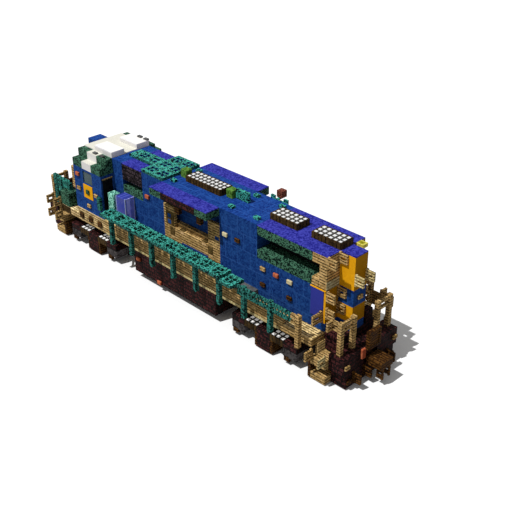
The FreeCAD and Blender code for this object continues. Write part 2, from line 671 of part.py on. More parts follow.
# rear, front, inner, outer, bottom, top; the first two stand on both sides, the others on the left
PAIRED_BOXES = ((6.9, 8.9, 1.5, 2.3, 2.5, 3.0), FRONT_BOX)
MINT_COLUMN = (19.05, 19.65, 1.75, 2.3, 2.5, 5.0)
VIOLET_CABINET = (17.9, 18.85, 1.52, 2.25, 2.5, 5.05)


def deck_cabinets():
    out = []
    for size in PAIRED_BOXES:
        out += both(*size)
    return out + [cells(*MINT_COLUMN), cells(*VIOLET_CABINET)]


def coupler(end, way):
    """Plank-box head with two gate brackets under it, on a shank that turns on the pin."""
    x = lambda d: end + way * d
    top = 1.0 + SLAB
    shapes = [cells(x(-COUPLER_REACH), x(-0.12), -CORE_HALF, CORE_HALF, 1.03, top),
              cells(x(-0.12), x(1.0), -0.25, 0.25, 1.05, 1.4)]
    for s in SIDES:
        shapes.append(gate(x(-COUPLER_REACH), x(-COUPLER_REACH + 0.4), s * 0.225, s * 0.35, 0.06, "x"))
    bore = Part.makeCylinder(COUPLER_PIN_R + JOURNAL_CLEARANCE, BLOCK, vec(px(x(COUPLER_PIN)), 0, BLOCK / 2), Z)
    drawbar = Part.makeCylinder(DRAWBAR_PIN_R, BLOCK, vec(px(x(-0.7)), 0, BLOCK), Z)
    return [fuse(shapes).cut(fuse([bore, drawbar]))]


# ---------------------------------------------------------------- bogies
def axle_stations(bogie):
    return [bogie - AXLE_SPACING, bogie, bogie + AXLE_SPACING]


def axle_bores(bogie):
    length = 2 * (BODY_HALF * BLOCK - AXLE_SET_IN) + 40
    return [Part.makeCylinder(AXLE_R + JOURNAL_CLEARANCE, length, vec(px(x), -length / 2, FLANGE_R), Y)
            for x in axle_stations(bogie)]


BEAM_IN = 1.26           # side beam's inner face, cells
BOX_BOTTOM = AXLE_Z - 0.266
BOX_TOP = AXLE_Z + 0.234
BEAM_BOTTOM = AXLE_Z - 0.166
BEAM_TOP = AXLE_Z + 0.834


def bogie_frame(bogie):
    top = SILL_BOTTOM - RUN_GAP / BLOCK
    half = AXLE_SPACING + SLAB
    shapes = []
    for s in SIDES:
        shapes.append(cells(bogie - half, bogie + half, s * BEAM_IN, s * HOOD_HALF, BEAM_BOTTOM, BEAM_TOP))
        for x in (-AXLE_SPACING, AXLE_SPACING):
            shapes.append(cells(bogie + x - 0.5, bogie + x + 0.5, s * HOOD_HALF, s * BODY_HALF, BOX_TOP, top))
        shapes.append(cells(bogie - 0.5, bogie + 0.5, s * HOOD_HALF, s * BODY_HALF, STEP_BOTTOM, top))
    for x in (-1.0, 1.0):
        shapes.append(cells(bogie + x - 0.17, bogie + x + 0.17, -HOOD_HALF, HOOD_HALF, BOX_TOP, BEAM_TOP))
    bowl_top = SILL_BOTTOM - (CENTRE_PLATE_T + SEAT_GAP) / BLOCK
    shapes.append(cells(bogie - 1.17, bogie + 1.17, -0.6, 0.6, BEAM_TOP - 0.4, bowl_top))
    pivot = Part.makeCylinder(PIVOT_R + JOURNAL_CLEARANCE, PIVOT_DROP + 200,
                              vec(px(bogie), 0, SILL_BOTTOM * BLOCK - PIVOT_DROP - 200), Z)
    return [fuse(shapes).cut(fuse(axle_bores(bogie) + [pivot]))]


def wheelset(x):
    length = 2 * (BODY_HALF * BLOCK - AXLE_SET_IN)
    shapes = [Part.makeCylinder(AXLE_R, length, vec(px(x), -length / 2, FLANGE_R), Y)]
    for s in SIDES:
        inner = s * BACK_TO_BACK / 2
        for radius, width in ((TREAD_R, WHEEL_W), (FLANGE_R, FLANGE_W)):
            start = min(inner, inner + s * width)
            shapes.append(Part.makeCylinder(radius, width, vec(px(x), start, FLANGE_R), Y))
    return [fuse(shapes)]


def bogie_bases(bogie):
    """Axle boxes under the frame's outer blocks."""
    out = []
    for s in SIDES:
        for x in (-AXLE_SPACING, AXLE_SPACING):
            base = cells(bogie + x - 0.5, bogie + x + 0.5, s * HOOD_HALF, s * BODY_HALF, BOX_BOTTOM, BOX_TOP)
            out.append(base.cut(fuse(axle_bores(bogie))))
    return out


def louvre_boxes(bogie):
    out = []
    for way in (1, -1):
        out += both(bogie + way * 0.5, bogie + way * 1.5, HOOD_HALF, BODY_HALF, BOX_TOP, BOX_TOP + 0.375)
    return out


write("underframe", underframe())
write("fuel_tank", tank())
write("radiator_hood", radiator_hood())
write("engine_hood", engine_hood())
write("front_hood", front_hood())
write("trim_plates", trim_plates())
write("roof_hatches", hatches())
write("hatch_beams", hatch_beams())
write("green_panels", green_panels())
write("engine_block", engine())
write("plank_frames", plank_frames())
write("recess_grilles", recess_grilles())
write("end_pillars", end_pillars())
write("pillar_bands", pillar_bands())
write("fan_boxes", [fan_box(rear, length) for name, rear, length in FANS])
for name, rear, length in FANS:
    write("fan_rotor_" + name, fan_rotor(rear, length))
write("roof_lattice", roof_lattice())
write("roof_boxes", roof_boxes())
write("roof_brackets", roof_brackets())
write("cab_shell", cab())
write("cab_windows", cab_windows())
write("cab_roof", cab_roof())
write("cab_brows", cab_brows())
write("nose", nose())
write("cab_door_left", cab_door(1))
write("cab_door_right", cab_door(-1))
write("rail_posts", rail_posts())
write("rail_tops", rail_tops())
write("end_platforms", [platform(*end) for end in ENDS])
write("end_rails", [part for end in ENDS for part in end_rails(*end)]
      + [part for s in SIDES for part in step_gates(s)])
write("steps", [part for name, end, way in ENDS for part in steps(end, way)])
write("frame_brackets", frame_brackets())
write("pilot_plates", pilot_plates())
write("latches", latches())
write("deck_cabinets", deck_cabinets())
for name, end, way in ENDS:
    write("coupler_" + name, coupler(end, way))
for name, bogie in (("rear", REAR_BOGIE), ("front", FRONT_BOGIE)):
    write("bogie_frame_" + name, bogie_frame(bogie))
    write("bogie_bases_" + name, bogie_bases(bogie))
    write("louvre_boxes_" + name, louvre_boxes(bogie))
    for k, x in enumerate(axle_stations(bogie)):
        write("wheelset_%s_%d" % (name, k + 1), wheelset(x))
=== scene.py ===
"""Finishes, block details, light and camera for the block-built diesel locomotive."""
import math
import bpy
import bmesh
from mathutils import Matrix, Vector


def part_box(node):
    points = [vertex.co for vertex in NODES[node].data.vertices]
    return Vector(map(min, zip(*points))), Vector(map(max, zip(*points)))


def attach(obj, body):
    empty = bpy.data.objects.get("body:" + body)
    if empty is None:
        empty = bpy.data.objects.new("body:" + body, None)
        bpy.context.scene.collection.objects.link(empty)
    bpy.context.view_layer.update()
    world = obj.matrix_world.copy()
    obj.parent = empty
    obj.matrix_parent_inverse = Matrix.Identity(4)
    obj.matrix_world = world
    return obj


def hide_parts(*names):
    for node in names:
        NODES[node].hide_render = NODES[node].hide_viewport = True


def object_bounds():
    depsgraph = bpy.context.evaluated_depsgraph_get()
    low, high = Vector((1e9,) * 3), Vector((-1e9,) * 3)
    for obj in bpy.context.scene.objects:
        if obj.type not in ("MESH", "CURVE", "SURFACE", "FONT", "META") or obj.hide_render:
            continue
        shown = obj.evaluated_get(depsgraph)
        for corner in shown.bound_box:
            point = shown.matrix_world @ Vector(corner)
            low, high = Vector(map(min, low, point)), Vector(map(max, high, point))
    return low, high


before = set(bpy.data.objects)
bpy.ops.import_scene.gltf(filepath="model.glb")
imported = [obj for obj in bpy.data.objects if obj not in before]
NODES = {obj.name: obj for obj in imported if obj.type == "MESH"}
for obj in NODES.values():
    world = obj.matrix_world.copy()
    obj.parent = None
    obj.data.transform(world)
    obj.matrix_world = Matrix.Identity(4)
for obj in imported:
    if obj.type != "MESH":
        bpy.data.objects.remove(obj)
cad_low, cad_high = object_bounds()

# ---------------------------------------------------------------- block grid
# the end platforms' outer faces lie this many blocks apart
GRID_CELLS = 27
grid_low, grid_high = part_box("end_platforms")
BLOCK = (grid_high.x - grid_low.x) / GRID_CELLS
SQUARE = BLOCK / 16      # one small square of paint
GRAIN = BLOCK / 12       # a coarser one
SIDES = (1, -1)          # left and right

# heights over the ground, half widths and plate thickness, all in blocks
DECK_LOW, DECK_TOP, SILL_TOP, RAIL_TOP, ROOF = 2.0, 2.5, 3.0, 4.0, 7.0
PILLAR_HALF, HOOD_HALF, BODY_HALF, WALKWAY_HALF = 0.5, 1.5, 2.5, 3.5
PLATE = 0.1875
# stations of the bogies' middles
BOGIES = (("rear", 5.5), ("front", 21.5))
# from this station on the deck is paler
PALE_DECK = 19.9


def at(cell):
    """Place along the locomotive in metres of a station counted in blocks from the rear end face."""
    return grid_low.x + cell * BLOCK


# ---------------------------------------------------------------- camera and light
CAMERA_STATION, CAMERA_SIDE, CAMERA_HEIGHT = -21.26, 29.7, 27.5      # in blocks
VIEW_DIRECTION = Vector((0.618, -0.615, -0.4895))
LENS = 58.85
FAR_CLIP = 500.0
SUN_DIRECTION = Vector((-0.15, -0.54, -1.0))
SUN_STRENGTH = 3.1
SUN_SOFTNESS = 0.6       # degrees
SKY_STRENGTH = 0.31

scene = bpy.context.scene
camera_data = bpy.data.cameras.new("camera")
camera_data.lens = LENS
camera_data.clip_end = FAR_CLIP
camera = bpy.data.objects.new("camera", camera_data)
camera.location = (at(CAMERA_STATION), CAMERA_SIDE * BLOCK, CAMERA_HEIGHT * BLOCK)
camera.rotation_euler = VIEW_DIRECTION.to_track_quat("-Z", "Y").to_euler()
scene.collection.objects.link(camera)
scene.camera = camera
scene.view_settings.view_transform = "Standard"

sun_data = bpy.data.lights.new("sun", "SUN")
sun_data.energy = SUN_STRENGTH
sun_data.angle = math.radians(SUN_SOFTNESS)
sun = bpy.data.objects.new("sun", sun_data)
sun.rotation_euler = SUN_DIRECTION.to_track_quat("-Z", "Y").to_euler()
scene.collection.objects.link(sun)


# ---------------------------------------------------------------- node helpers
def add(tree, kind, **values):
    """A node with its properties set; sockets named in values get their default."""
    made = tree.nodes.new(kind)
    for key, value in values.items():
        if hasattr(made, key):
            setattr(made, key, value)
        else:
            made.inputs[key.replace("_", " ")].default_value = value
    return made


def put(tree, target, value):
    """Joins an output to a socket, or sets the socket to a plain value."""
    if hasattr(value, "is_output"):
        tree.links.new(value, target)
    else:
        target.default_value = value


def calc(tree, operation, first, second=0.0, third=0.0):
    """The output of a Math node."""
    made = add(tree, "ShaderNodeMath", operation=operation)
    for socket, value in zip(made.inputs, (first, second, third)):
        put(tree, socket, value)
    return made.outputs[0]


def vector_calc(tree, operation, first, second=(0.0, 0.0, 0.0), third=(0.0, 0.0, 0.0)):
    """The output of a Vector Math node."""
    made = add(tree, "ShaderNodeVectorMath", operation=operation)
    for socket, value in zip(made.inputs, (first, second, third)):
        put(tree, socket, value)
    return made.outputs[0]


# sockets of a Mix node that are for colours
MIX_AMOUNT, MIX_FIRST, MIX_SECOND, MIX_RESULT = 0, 6, 7, 2


def blend_colours(tree, amount, first, second, kind="MIX"):
    """The output of a Mix node between two colours."""
    made = add(tree, "ShaderNodeMix", data_type="RGBA", blend_type=kind)
    put(tree, made.inputs[MIX_AMOUNT], amount)
    put(tree, made.inputs[MIX_FIRST], first)
    put(tree, made.inputs[MIX_SECOND], second)
    return made.outputs[MIX_RESULT]


def group(name, inputs, outputs):
    """An empty group with float inputs (name, value) and the named float outputs."""
    tree = bpy.data.node_groups.new(name, "ShaderNodeTree")
    for label, value in inputs:
        socket = tree.interface.new_socket(label, in_out="INPUT", socket_type="NodeSocketFloat")
        socket.default_value = value
    for label in outputs:
        tree.interface.new_socket(label, in_out="OUTPUT", socket_type="NodeSocketFloat")
    return tree, tree.nodes.new("NodeGroupInput").outputs, tree.nodes.new("NodeGroupOutput").inputs


def use(tree, grouped, **values):
    """Places a group in a node tree with its own values, and gives its outputs."""
    made = add(tree, "ShaderNodeGroup", node_tree=grouped)
    for key, value in values.items():
        put(tree, made.inputs[key], value)
    return made.outputs


# ---------------------------------------------------------------- pattern groups
NUDGE = -0.004           # metres along the normal
FACE_LIMIT = 0.7         # a face looks along an axis when its normal's share on it is above this
AXIS_X, AXIS_Z = 0, 2


def inner_point(tree):
    """The point just inside the surface, so that no face lies on a square's border, and the normal."""
    where = add(tree, "ShaderNodeTexCoord")
    return vector_calc(tree, "MULTIPLY_ADD", where.outputs["Normal"], (NUDGE, NUDGE, NUDGE),
                       where.outputs["Object"]), where.outputs["Normal"]


# face grid: distance along and up a face, whichever way it looks
FACE_GRID, _, ends = group("face grid", (), ("Along", "Up"))
point, normal = inner_point(FACE_GRID)
spot = add(FACE_GRID, "ShaderNodeSeparateXYZ")
FACE_GRID.links.new(point, spot.inputs[0])
facing = add(FACE_GRID, "ShaderNodeSeparateXYZ")
FACE_GRID.links.new(vector_calc(FACE_GRID, "ABSOLUTE", normal), facing.inputs[0])
on_end = calc(FACE_GRID, "GREATER_THAN", facing.outputs[AXIS_X], FACE_LIMIT)
on_top = calc(FACE_GRID, "GREATER_THAN", facing.outputs[AXIS_Z], FACE_LIMIT)
# each output follows its own axis, and the one across where the switch is on
for target, usual, switch in (("Along", "X", on_end), ("Up", "Z", on_top)):
    gap = calc(FACE_GRID, "SUBTRACT", spot.outputs["Y"], spot.outputs[usual])
    put(FACE_GRID, ends[target], calc(FACE_GRID, "MULTIPLY_ADD", gap, switch, spot.outputs[usual]))

# facing: masks of the faces that look up or down, and of those across the locomotive, by which the finishes
# paint light and shade
FACING, _, ends = group("facing", (), ("Top", "Across"))
_, normal = inner_point(FACING)
facing = add(FACING, "ShaderNodeSeparateXYZ")
FACING.links.new(vector_calc(FACING, "ABSOLUTE", normal), facing.inputs[0])
put(FACING, ends["Top"], calc(FACING, "GREATER_THAN", facing.outputs[AXIS_Z], FACE_LIMIT))
put(FACING, ends["Across"], calc(FACING, "GREATER_THAN", facing.outputs[AXIS_X], FACE_LIMIT))

# speckle: one random value for each small square of paint
SPECKLE, starts, ends = group("speckle", (("Size", SQUARE),), ("Value",))
point, _ = inner_point(SPECKLE)
scaled = add(SPECKLE, "ShaderNodeVectorMath", operation="SCALE")
SPECKLE.links.new(point, scaled.inputs[0])
put(SPECKLE, scaled.inputs["Scale"], calc(SPECKLE, "DIVIDE", 1.0, starts["Size"]))
grain = add(SPECKLE, "ShaderNodeTexWhiteNoise", noise_dimensions="3D")
SPECKLE.links.new(vector_calc(SPECKLE, "FLOOR", scaled.outputs[0]), grain.inputs["Vector"])
put(SPECKLE, ends["Value"], grain.outputs["Value"])

# mottle: soft cloudiness cut into the same small squares
MOTTLE, starts, ends = group("mottle", (("Size", SQUARE), ("Scale", 3.0)), ("Value",))
point, _ = inner_point(MOTTLE)
scaled = add(MOTTLE, "ShaderNodeVectorMath", operation="SNAP")
MOTTLE.links.new(point, scaled.inputs[0])
size = add(MOTTLE, "ShaderNodeCombineXYZ")
for target in size.inputs:
    MOTTLE.links.new(starts["Size"], target)
MOTTLE.links.new(size.outputs[0], scaled.inputs[1])
cloud = add(MOTTLE, "ShaderNodeTexNoise", Detail=2.0, Roughness=0.6)
MOTTLE.links.new(scaled.outputs[0], cloud.inputs["Vector"])
MOTTLE.links.new(starts["Scale"], cloud.inputs["Scale"])
spread = add(MOTTLE, "ShaderNodeMapRange", From_Min=0.3, From_Max=0.7)
MOTTLE.links.new(cloud.outputs["Fac"], spread.inputs["Value"])
put(MOTTLE, ends["Value"], spread.outputs[0])

# boards: rows of boards or bricks, every other row shifted by half a board; Groove is 1 in the joints,
# Board is each one's own shade, Upright stands the rows on end, Joint weakens the joints inside a row
BOARDS, starts, ends = group(
    "boards", (("Height", BLOCK / 4), ("Length", BLOCK * 2), ("Groove", SQUARE), ("Upright", 0.0),
               ("Joint", 1.0)),
    ("Board", "Groove"))
laid = use(BOARDS, FACE_GRID)
turn = calc(BOARDS, "SUBTRACT", laid["Along"], laid["Up"])
across = calc(BOARDS, "MULTIPLY_ADD", turn, starts["Upright"], laid["Up"])
along = calc(BOARDS, "SUBTRACT", laid["Along"], calc(BOARDS, "MULTIPLY", turn, starts["Upright"]))
row = calc(BOARDS, "FLOOR", calc(BOARDS, "DIVIDE", across, starts["Height"]))
in_row = calc(BOARDS, "SUBTRACT", across, calc(BOARDS, "MULTIPLY", row, starts["Height"]))
odd = calc(BOARDS, "MULTIPLY", calc(BOARDS, "PINGPONG", row, 1.0), 0.5)
column = calc(BOARDS, "ADD", calc(BOARDS, "DIVIDE", along, starts["Length"]), odd)
whole = calc(BOARDS, "FLOOR", column)
in_board = calc(BOARDS, "MULTIPLY", calc(BOARDS, "SUBTRACT", column, whole), starts["Length"])
board_number = add(BOARDS, "ShaderNodeCombineXYZ")
put(BOARDS, board_number.inputs["X"], row)
put(BOARDS, board_number.inputs["Y"], whole)
shade = add(BOARDS, "ShaderNodeTexWhiteNoise", noise_dimensions="2D")
BOARDS.links.new(board_number.outputs[0], shade.inputs["Vector"])
put(BOARDS, ends["Board"], shade.outputs["Value"])
joint = calc(BOARDS, "MULTIPLY", calc(BOARDS, "LESS_THAN", in_board, starts["Groove"]), starts["Joint"])
put(BOARDS, ends["Groove"], calc(BOARDS, "MAXIMUM", calc(BOARDS, "LESS_THAN", in_row, starts["Groove"]),
                                 joint))


# ---------------------------------------------------------------- finishes
WHITE = (1.0, 1.0, 1.0)
MIDDLE_SHADE = 0.5
PAINT_GLOSS = 0.06
JOINT_BREAKS = 0.35                       # share of the squares in which a joint is faint
JOINT_FAINT, JOINT_MORE = 0.3, 0.7        # strength of a faint joint, and what the others have on top
GROOVE_RELIEF, GRAIN_RELIEF = -2.0, 0.4
WEAR_BELOW, WEAR_ABOVE = 0.08, 0.1        # spread of the roughness


def tint(tree, colour, mask, factor):
    """The colour multiplied by the factor where the mask is 1."""
    return blend_colours(tree, mask, colour, (*factor, 1.0), "MULTIPLY")


def finish(name, dark, light, speckle=0.5, mottle=0.4, mottle_scale=3.0, size=GRAIN, boards=None,
           groove=0.35, board_shade=0.3, seam=None, roughness=0.75, metallic=0.0, bump=0.4, depth=0.004,
           top=None, across=None, zone=None, painted_glow=0.0):
    """A paint, wood or stone finish in small squares, with board joints or block seams if asked.

    dark and light are linear colours; boards is one of the layouts below; groove is how dark its
    joints are; seam is (colour, strength) of the thin line at each block's edge; top and across
    are painted light and shade: they tint the faces that look up and those that look forward or
    back lighter or darker, as the light falls on them; zone is (axis, start, way, tint) of one
    stretch in another shade; glow is painted light, the finish glowing in its own colour.
    """
    material = bpy.data.materials.new(name)
    material.use_nodes = True
    tree = material.node_tree
    shader = tree.nodes["Principled BSDF"]
    shader.inputs["Metallic"].default_value = metallic
    shader.inputs["Specular IOR Level"].default_value = PAINT_GLOSS
    fine = use(tree, SPECKLE, Size=size)["Value"]
    cloud = use(tree, MOTTLE, Size=size, Scale=mottle_scale)["Value"]
    shades = [(fine, speckle), (cloud, mottle)]
    height = fine
    if boards:
        tall, long, gap, upright, joint = boards
        laid = use(tree, BOARDS, Height=tall, Length=long, Groove=gap, Upright=upright, Joint=joint)
        shades.append((laid["Board"], board_shade))
    amount = MIDDLE_SHADE
    for value, strength in shades:
        off_middle = calc(tree, "SUBTRACT", value, MIDDLE_SHADE)
        amount = calc(tree, "MULTIPLY_ADD", off_middle, strength, amount)
    clamped = add(tree, "ShaderNodeClamp")
    put(tree, clamped.inputs[0], amount)
    colour = blend_colours(tree, clamped.outputs[0], (*dark, 1.0), (*light, 1.0))
    if boards:
        deep = tuple(c * groove for c in dark)
        strong = calc(tree, "GREATER_THAN", fine, JOINT_BREAKS)
        broken = calc(tree, "MULTIPLY_ADD", strong, JOINT_MORE, JOINT_FAINT)
        colour = blend_colours(tree, calc(tree, "MULTIPLY", laid["Groove"], broken), colour, (*deep, 1.0))
        height = calc(tree, "MULTIPLY_ADD", laid["Groove"], GROOVE_RELIEF,
                      calc(tree, "MULTIPLY", fine, GRAIN_RELIEF))
    if seam:
        line = use(tree, BOARDS, Height=BLOCK, Length=BLOCK, Groove=SQUARE, Upright=0.0)["Groove"]
        colour = blend_colours(tree, calc(tree, "MULTIPLY", line, seam[1]), colour, (*seam[0], 1.0))
    # painted light and shade: faces that look up, and those that look forward or back, made lighter or
    # darker as the light falls on them
    if top or across:
        sides = use(tree, FACING)
        colour = tint(tree, colour, sides["Top"], top or WHITE)
        colour = tint(tree, colour, sides["Across"], across or WHITE)
    if zone:
        axis, start, way, factor = zone
        where = add(tree, "ShaderNodeTexCoord")
        spot = add(tree, "ShaderNodeSeparateXYZ")
        tree.links.new(where.outputs["Object"], spot.inputs[0])
        reach = calc(tree, "MULTIPLY", calc(tree, "SUBTRACT", spot.outputs[axis], start), way)
        colour = tint(tree, colour, calc(tree, "GREATER_THAN", reach, 0.0), factor)
    put(tree, shader.inputs["Base Color"], colour)
    # painted light: the finish shines in its own colour though it is no lamp
    if painted_glow:
        put(tree, shader.inputs["Emission Color"], colour)
        shader.inputs["Emission Strength"].default_value = painted_glow
    wear = add(tree, "ShaderNodeMapRange", To_Min=roughness - WEAR_BELOW, To_Max=roughness + WEAR_ABOVE)
    put(tree, wear.inputs["Value"], fine)
    put(tree, shader.inputs["Roughness"], wear.outputs[0])
    relief = add(tree, "ShaderNodeBump", Strength=bump, Distance=depth)
    put(tree, relief.inputs["Height"], height)
    put(tree, shader.inputs["Normal"], relief.outputs[0])
    return material


# layouts of boards: height, length, groove width, 1 for upright ones, strength of the end joints
PLANK = (BLOCK / 6, BLOCK, SQUARE, 0.0, 0.3)
UPRIGHT = (BLOCK / 4, BLOCK * 4, SQUARE, 1.0, 1.0)
BRICK = (BLOCK / 4, BLOCK / 2, SQUARE, 0.0, 1.0)
SMALL_ROWS = (BLOCK / 8, BLOCK / 4, SQUARE, 0.0, 1.0)
TAN_DARK, TAN_LIGHT = (0.29, 0.18, 0.058), (0.70, 0.46, 0.19)
PEG_DARK, PEG_LIGHT = (0.66, 0.66, 0.66), (0.90, 0.90, 0.89)
ONWARD, BACKWARD = 1.0, -1.0       # which way from its start a zone reaches
SLAB_ZONE = 7.3 * BLOCK            # height from which the roof slabs are whiter
BRACKET_ZONE = 1.05                # station behind which the brackets are paler
MAT = {
    # top faces painted lighter and bluer, painted light
    "blue": finish("blue enamel", (0.001, 0.016, 0.115), (0.016, 0.074, 0.27), speckle=0.8, mottle=0.4,
                   seam=((0.045, 0.14, 0.42), 0.28), top=(1.0, 1.04, 1.22)),
    "indigo": finish("indigo enamel", (0.010, 0.011, 0.19), (0.055, 0.060, 0.42), speckle=1.2, mottle=0.3),
    "panel": finish("flat indigo", (0.030, 0.038, 0.27), (0.034, 0.043, 0.30), speckle=0.3, bump=0.1),
    # faces that look forward or back painted darker, painted shade
    "yellow": finish("yellow enamel", (0.70, 0.315, 0.004), (0.92, 0.44, 0.008), speckle=0.4, mottle=0.4,
                     bump=0.15, across=(0.45, 0.43, 0.17)),
    # faces that look forward or back painted darker, painted shade
    "maroon": finish("maroon brick iron", (0.002, 0.001, 0.001), (0.066, 0.018, 0.018), boards=BRICK,
                     speckle=1.8, groove=0.1, board_shade=0.5, across=(0.6, 0.6, 0.6)),
    "tan": finish("tan planking", TAN_DARK, TAN_LIGHT, boards=PLANK, groove=0.15, speckle=0.8, mottle=0.5,
                  board_shade=0.2),
    # top faces painted much lighter, painted light
    "deck": finish("tan deck planking", TAN_DARK, TAN_LIGHT, boards=PLANK, groove=0.15, speckle=0.8,
                   mottle=0.9, mottle_scale=5.0, board_shade=0.3, top=(1.6, 1.8, 2.1),
                   zone=(AXIS_X, at(PALE_DECK), ONWARD, (1.15, 1.25, 1.45))),
    "bracket": finish("tan bracket planking", TAN_DARK, TAN_LIGHT, boards=PLANK, groove=0.15, speckle=1.0,
                      board_shade=0.2, zone=(AXIS_X, at(BRACKET_ZONE), BACKWARD, (1.3, 1.6, 1.9))),
    # top faces painted lighter, painted light
    "lining": finish("tan bay lining", TAN_DARK, TAN_LIGHT, boards=PLANK, groove=0.15, speckle=0.8,
                     mottle=0.6, board_shade=0.3, top=(1.2, 1.2, 1.2)),
    "brown": finish("brown planking", (0.020, 0.006, 0.001), (0.14, 0.060, 0.012), boards=PLANK,
                    groove=0.3, speckle=1.1),
    "bark": finish("brown upright boards", (0.018, 0.009, 0.002), (0.090, 0.052, 0.016), boards=UPRIGHT,
                   groove=0.2, speckle=0.8),
    "teal": finish("teal enamel", (0.0, 0.004, 0.005), (0.060, 0.41, 0.325), speckle=3.2, mottle=0.3,
                   size=SQUARE),
    "post": finish("dark teal enamel", (0.0, 0.008, 0.008), (0.036, 0.21, 0.17), speckle=2.4,
                   mottle=0.3, size=SQUARE),
    "green": finish("mottled green", (0.0, 0.006, 0.004), (0.062, 0.172, 0.105), speckle=3.0, mottle=0.4,
                    mottle_scale=6.0, size=SQUARE),
    # faces that look forward or back painted lighter, painted light; top faces a little darker and yellower
    "white": finish("white enamel", (0.70, 0.68, 0.66), (0.80, 0.78, 0.76), speckle=0.4, bump=0.1,
                    top=(0.98, 0.98, 0.88), across=(1.2, 1.14, 1.08),
                    zone=(AXIS_Z, SLAB_ZONE, ONWARD, (1.27, 1.27, 1.39))),
    "grey": finish("grey iron", (0.06, 0.06, 0.06), (0.14, 0.14, 0.14), speckle=0.6, mottle=0.6),
    # faces that look forward or back painted much lighter, painted light
    "base": finish("dark bogie iron", (0.012, 0.010, 0.010), (0.085, 0.075, 0.075), speckle=1.0, mottle=0.8,
                   across=(2.4, 2.4, 2.5)),
    "black": finish("black enamel", (0.002, 0.002, 0.003), (0.010, 0.009, 0.010), speckle=0.5,
                    roughness=0.5),
    "grille": finish("dark grille", (0.001, 0.0, 0.0), (0.062, 0.044, 0.052), boards=BRICK,
                     speckle=1.8, groove=0.1, board_shade=0.6),
    "moss": finish("moss green", (0.030, 0.095, 0.006), (0.13, 0.28, 0.05), speckle=1.0, mottle=0.6,
                   mottle_scale=6.0),
    "rust": finish("rust red", (0.16, 0.042, 0.025), (0.34, 0.11, 0.075), boards=SMALL_ROWS, groove=0.4),
    # faces that look forward or back painted darker, painted shade
    "orange": finish("orange enamel", (0.36, 0.075, 0.030), (0.60, 0.18, 0.08), speckle=0.8,
                     across=(0.6, 0.5, 0.5)),
    "cream": finish("cream enamel", (0.50, 0.42, 0.22), (0.78, 0.68, 0.42), speckle=0.7),
    "mint": finish("mint enamel", (0.018, 0.15, 0.10), (0.33, 0.76, 0.60), speckle=2.2, mottle=0.6,
                   mottle_scale=6.0),
    "pegs": finish("white pegs", PEG_DARK, PEG_LIGHT, speckle=0.4, bump=0.1),
    # these pegs shine by themselves, painted light that keeps them white in the shade under the deck
    "bright": finish("white pegs with painted glow", PEG_DARK, PEG_LIGHT, speckle=0.8, bump=0.1, painted_glow=0.3),
    "straw": finish("straw coloured lip", (0.34, 0.26, 0.10), (0.66, 0.55, 0.28), speckle=0.9),
    "lamp": finish("yellow green lamp", (0.42, 0.38, 0.04), (0.90, 0.82, 0.20), speckle=0.7),
    "walnut": finish("walnut brown", (0.045, 0.028, 0.006), (0.15, 0.095, 0.030), speckle=1.0),
    "honey": finish("honey wood", (0.46, 0.30, 0.12), (0.74, 0.50, 0.25), speckle=0.8),
    "olive": finish("olive lens", (0.14, 0.13, 0.002), (0.40, 0.37, 0.02), speckle=0.8),
    "pale": finish("pale corner boards", (0.26, 0.23, 0.13), (0.60, 0.57, 0.36), boards=PLANK,
                   groove=0.5, speckle=0.8),
    "latch": finish("dark green latch", (0.0, 0.020, 0.008), (0.050, 0.12, 0.060), speckle=1.6),
    "charcoal": finish("charcoal iron", (0.030, 0.028, 0.025), (0.085, 0.08, 0.07), speckle=0.8),
    "frost": finish("frosted edge", (0.20, 0.24, 0.45), (0.42, 0.46, 0.68), speckle=0.9),
    "steel": finish("rolled steel", (0.25, 0.25, 0.26), (0.48, 0.48, 0.50), speckle=0.2, mottle=0.4,
                    metallic=0.9, roughness=0.35, bump=0.05),
    "iron": finish("dark wheel iron", (0.025, 0.022, 0.022), (0.07, 0.062, 0.058), speckle=0.3,
                   mottle=0.6, roughness=0.6),
}


STREAK_LIMIT = 0.75        # boards with a shade above this show as a streak
CLOUD_SHARE = 0.25
SMEAR = 0.15


def glass(name, colour, roughness, streaks, across=WHITE):
    """Tinted pane; streaks is the strength of its pale upright bands, 0 for none; across is painted light
    and shade, a tint of the faces that look forward or back.
    """
    material = bpy.data.materials.new(name)
    material.use_nodes = True
    tree = material.node_tree
    shader = tree.nodes["Principled BSDF"]
    shader.inputs["Transmission Weight"].default_value = 0.25
    shader.inputs["IOR"].default_value = 1.2
    upright = use(tree, BOARDS, Height=BLOCK / 8, Length=BLOCK * 4, Groove=0.0, Upright=1.0)["Board"]
    cloud = use(tree, MOTTLE, Size=SQUARE, Scale=1.5)["Value"]
    band = calc(tree, "MULTIPLY", calc(tree, "GREATER_THAN", upright, STREAK_LIMIT), streaks)
    amount = calc(tree, "MULTIPLY_ADD", cloud, CLOUD_SHARE, band)
    pale = tuple(min(1.0, c * 2.0 + 0.06) for c in colour)
    tone = blend_colours(tree, amount, (*colour, 1.0), (*pale, 1.0))
    put(tree, shader.inputs["Base Color"], tint(tree, tone, use(tree, FACING)["Across"], across))
    smear = add(tree, "ShaderNodeMapRange", To_Min=roughness, To_Max=roughness + SMEAR)
    put(tree, smear.inputs["Value"], cloud)
    put(tree, shader.inputs["Roughness"], smear.outputs[0])
    return material


MAT["window"] = glass("smoky window", (0.045, 0.085, 0.095), roughness=0.15, streaks=0.0)
# its faces that look forward or back painted much lighter, painted light
MAT["violet"] = glass("violet tinted glass", (0.034, 0.052, 0.36), roughness=0.2, streaks=0.6,
                      across=(6.4, 5.0, 2.2))

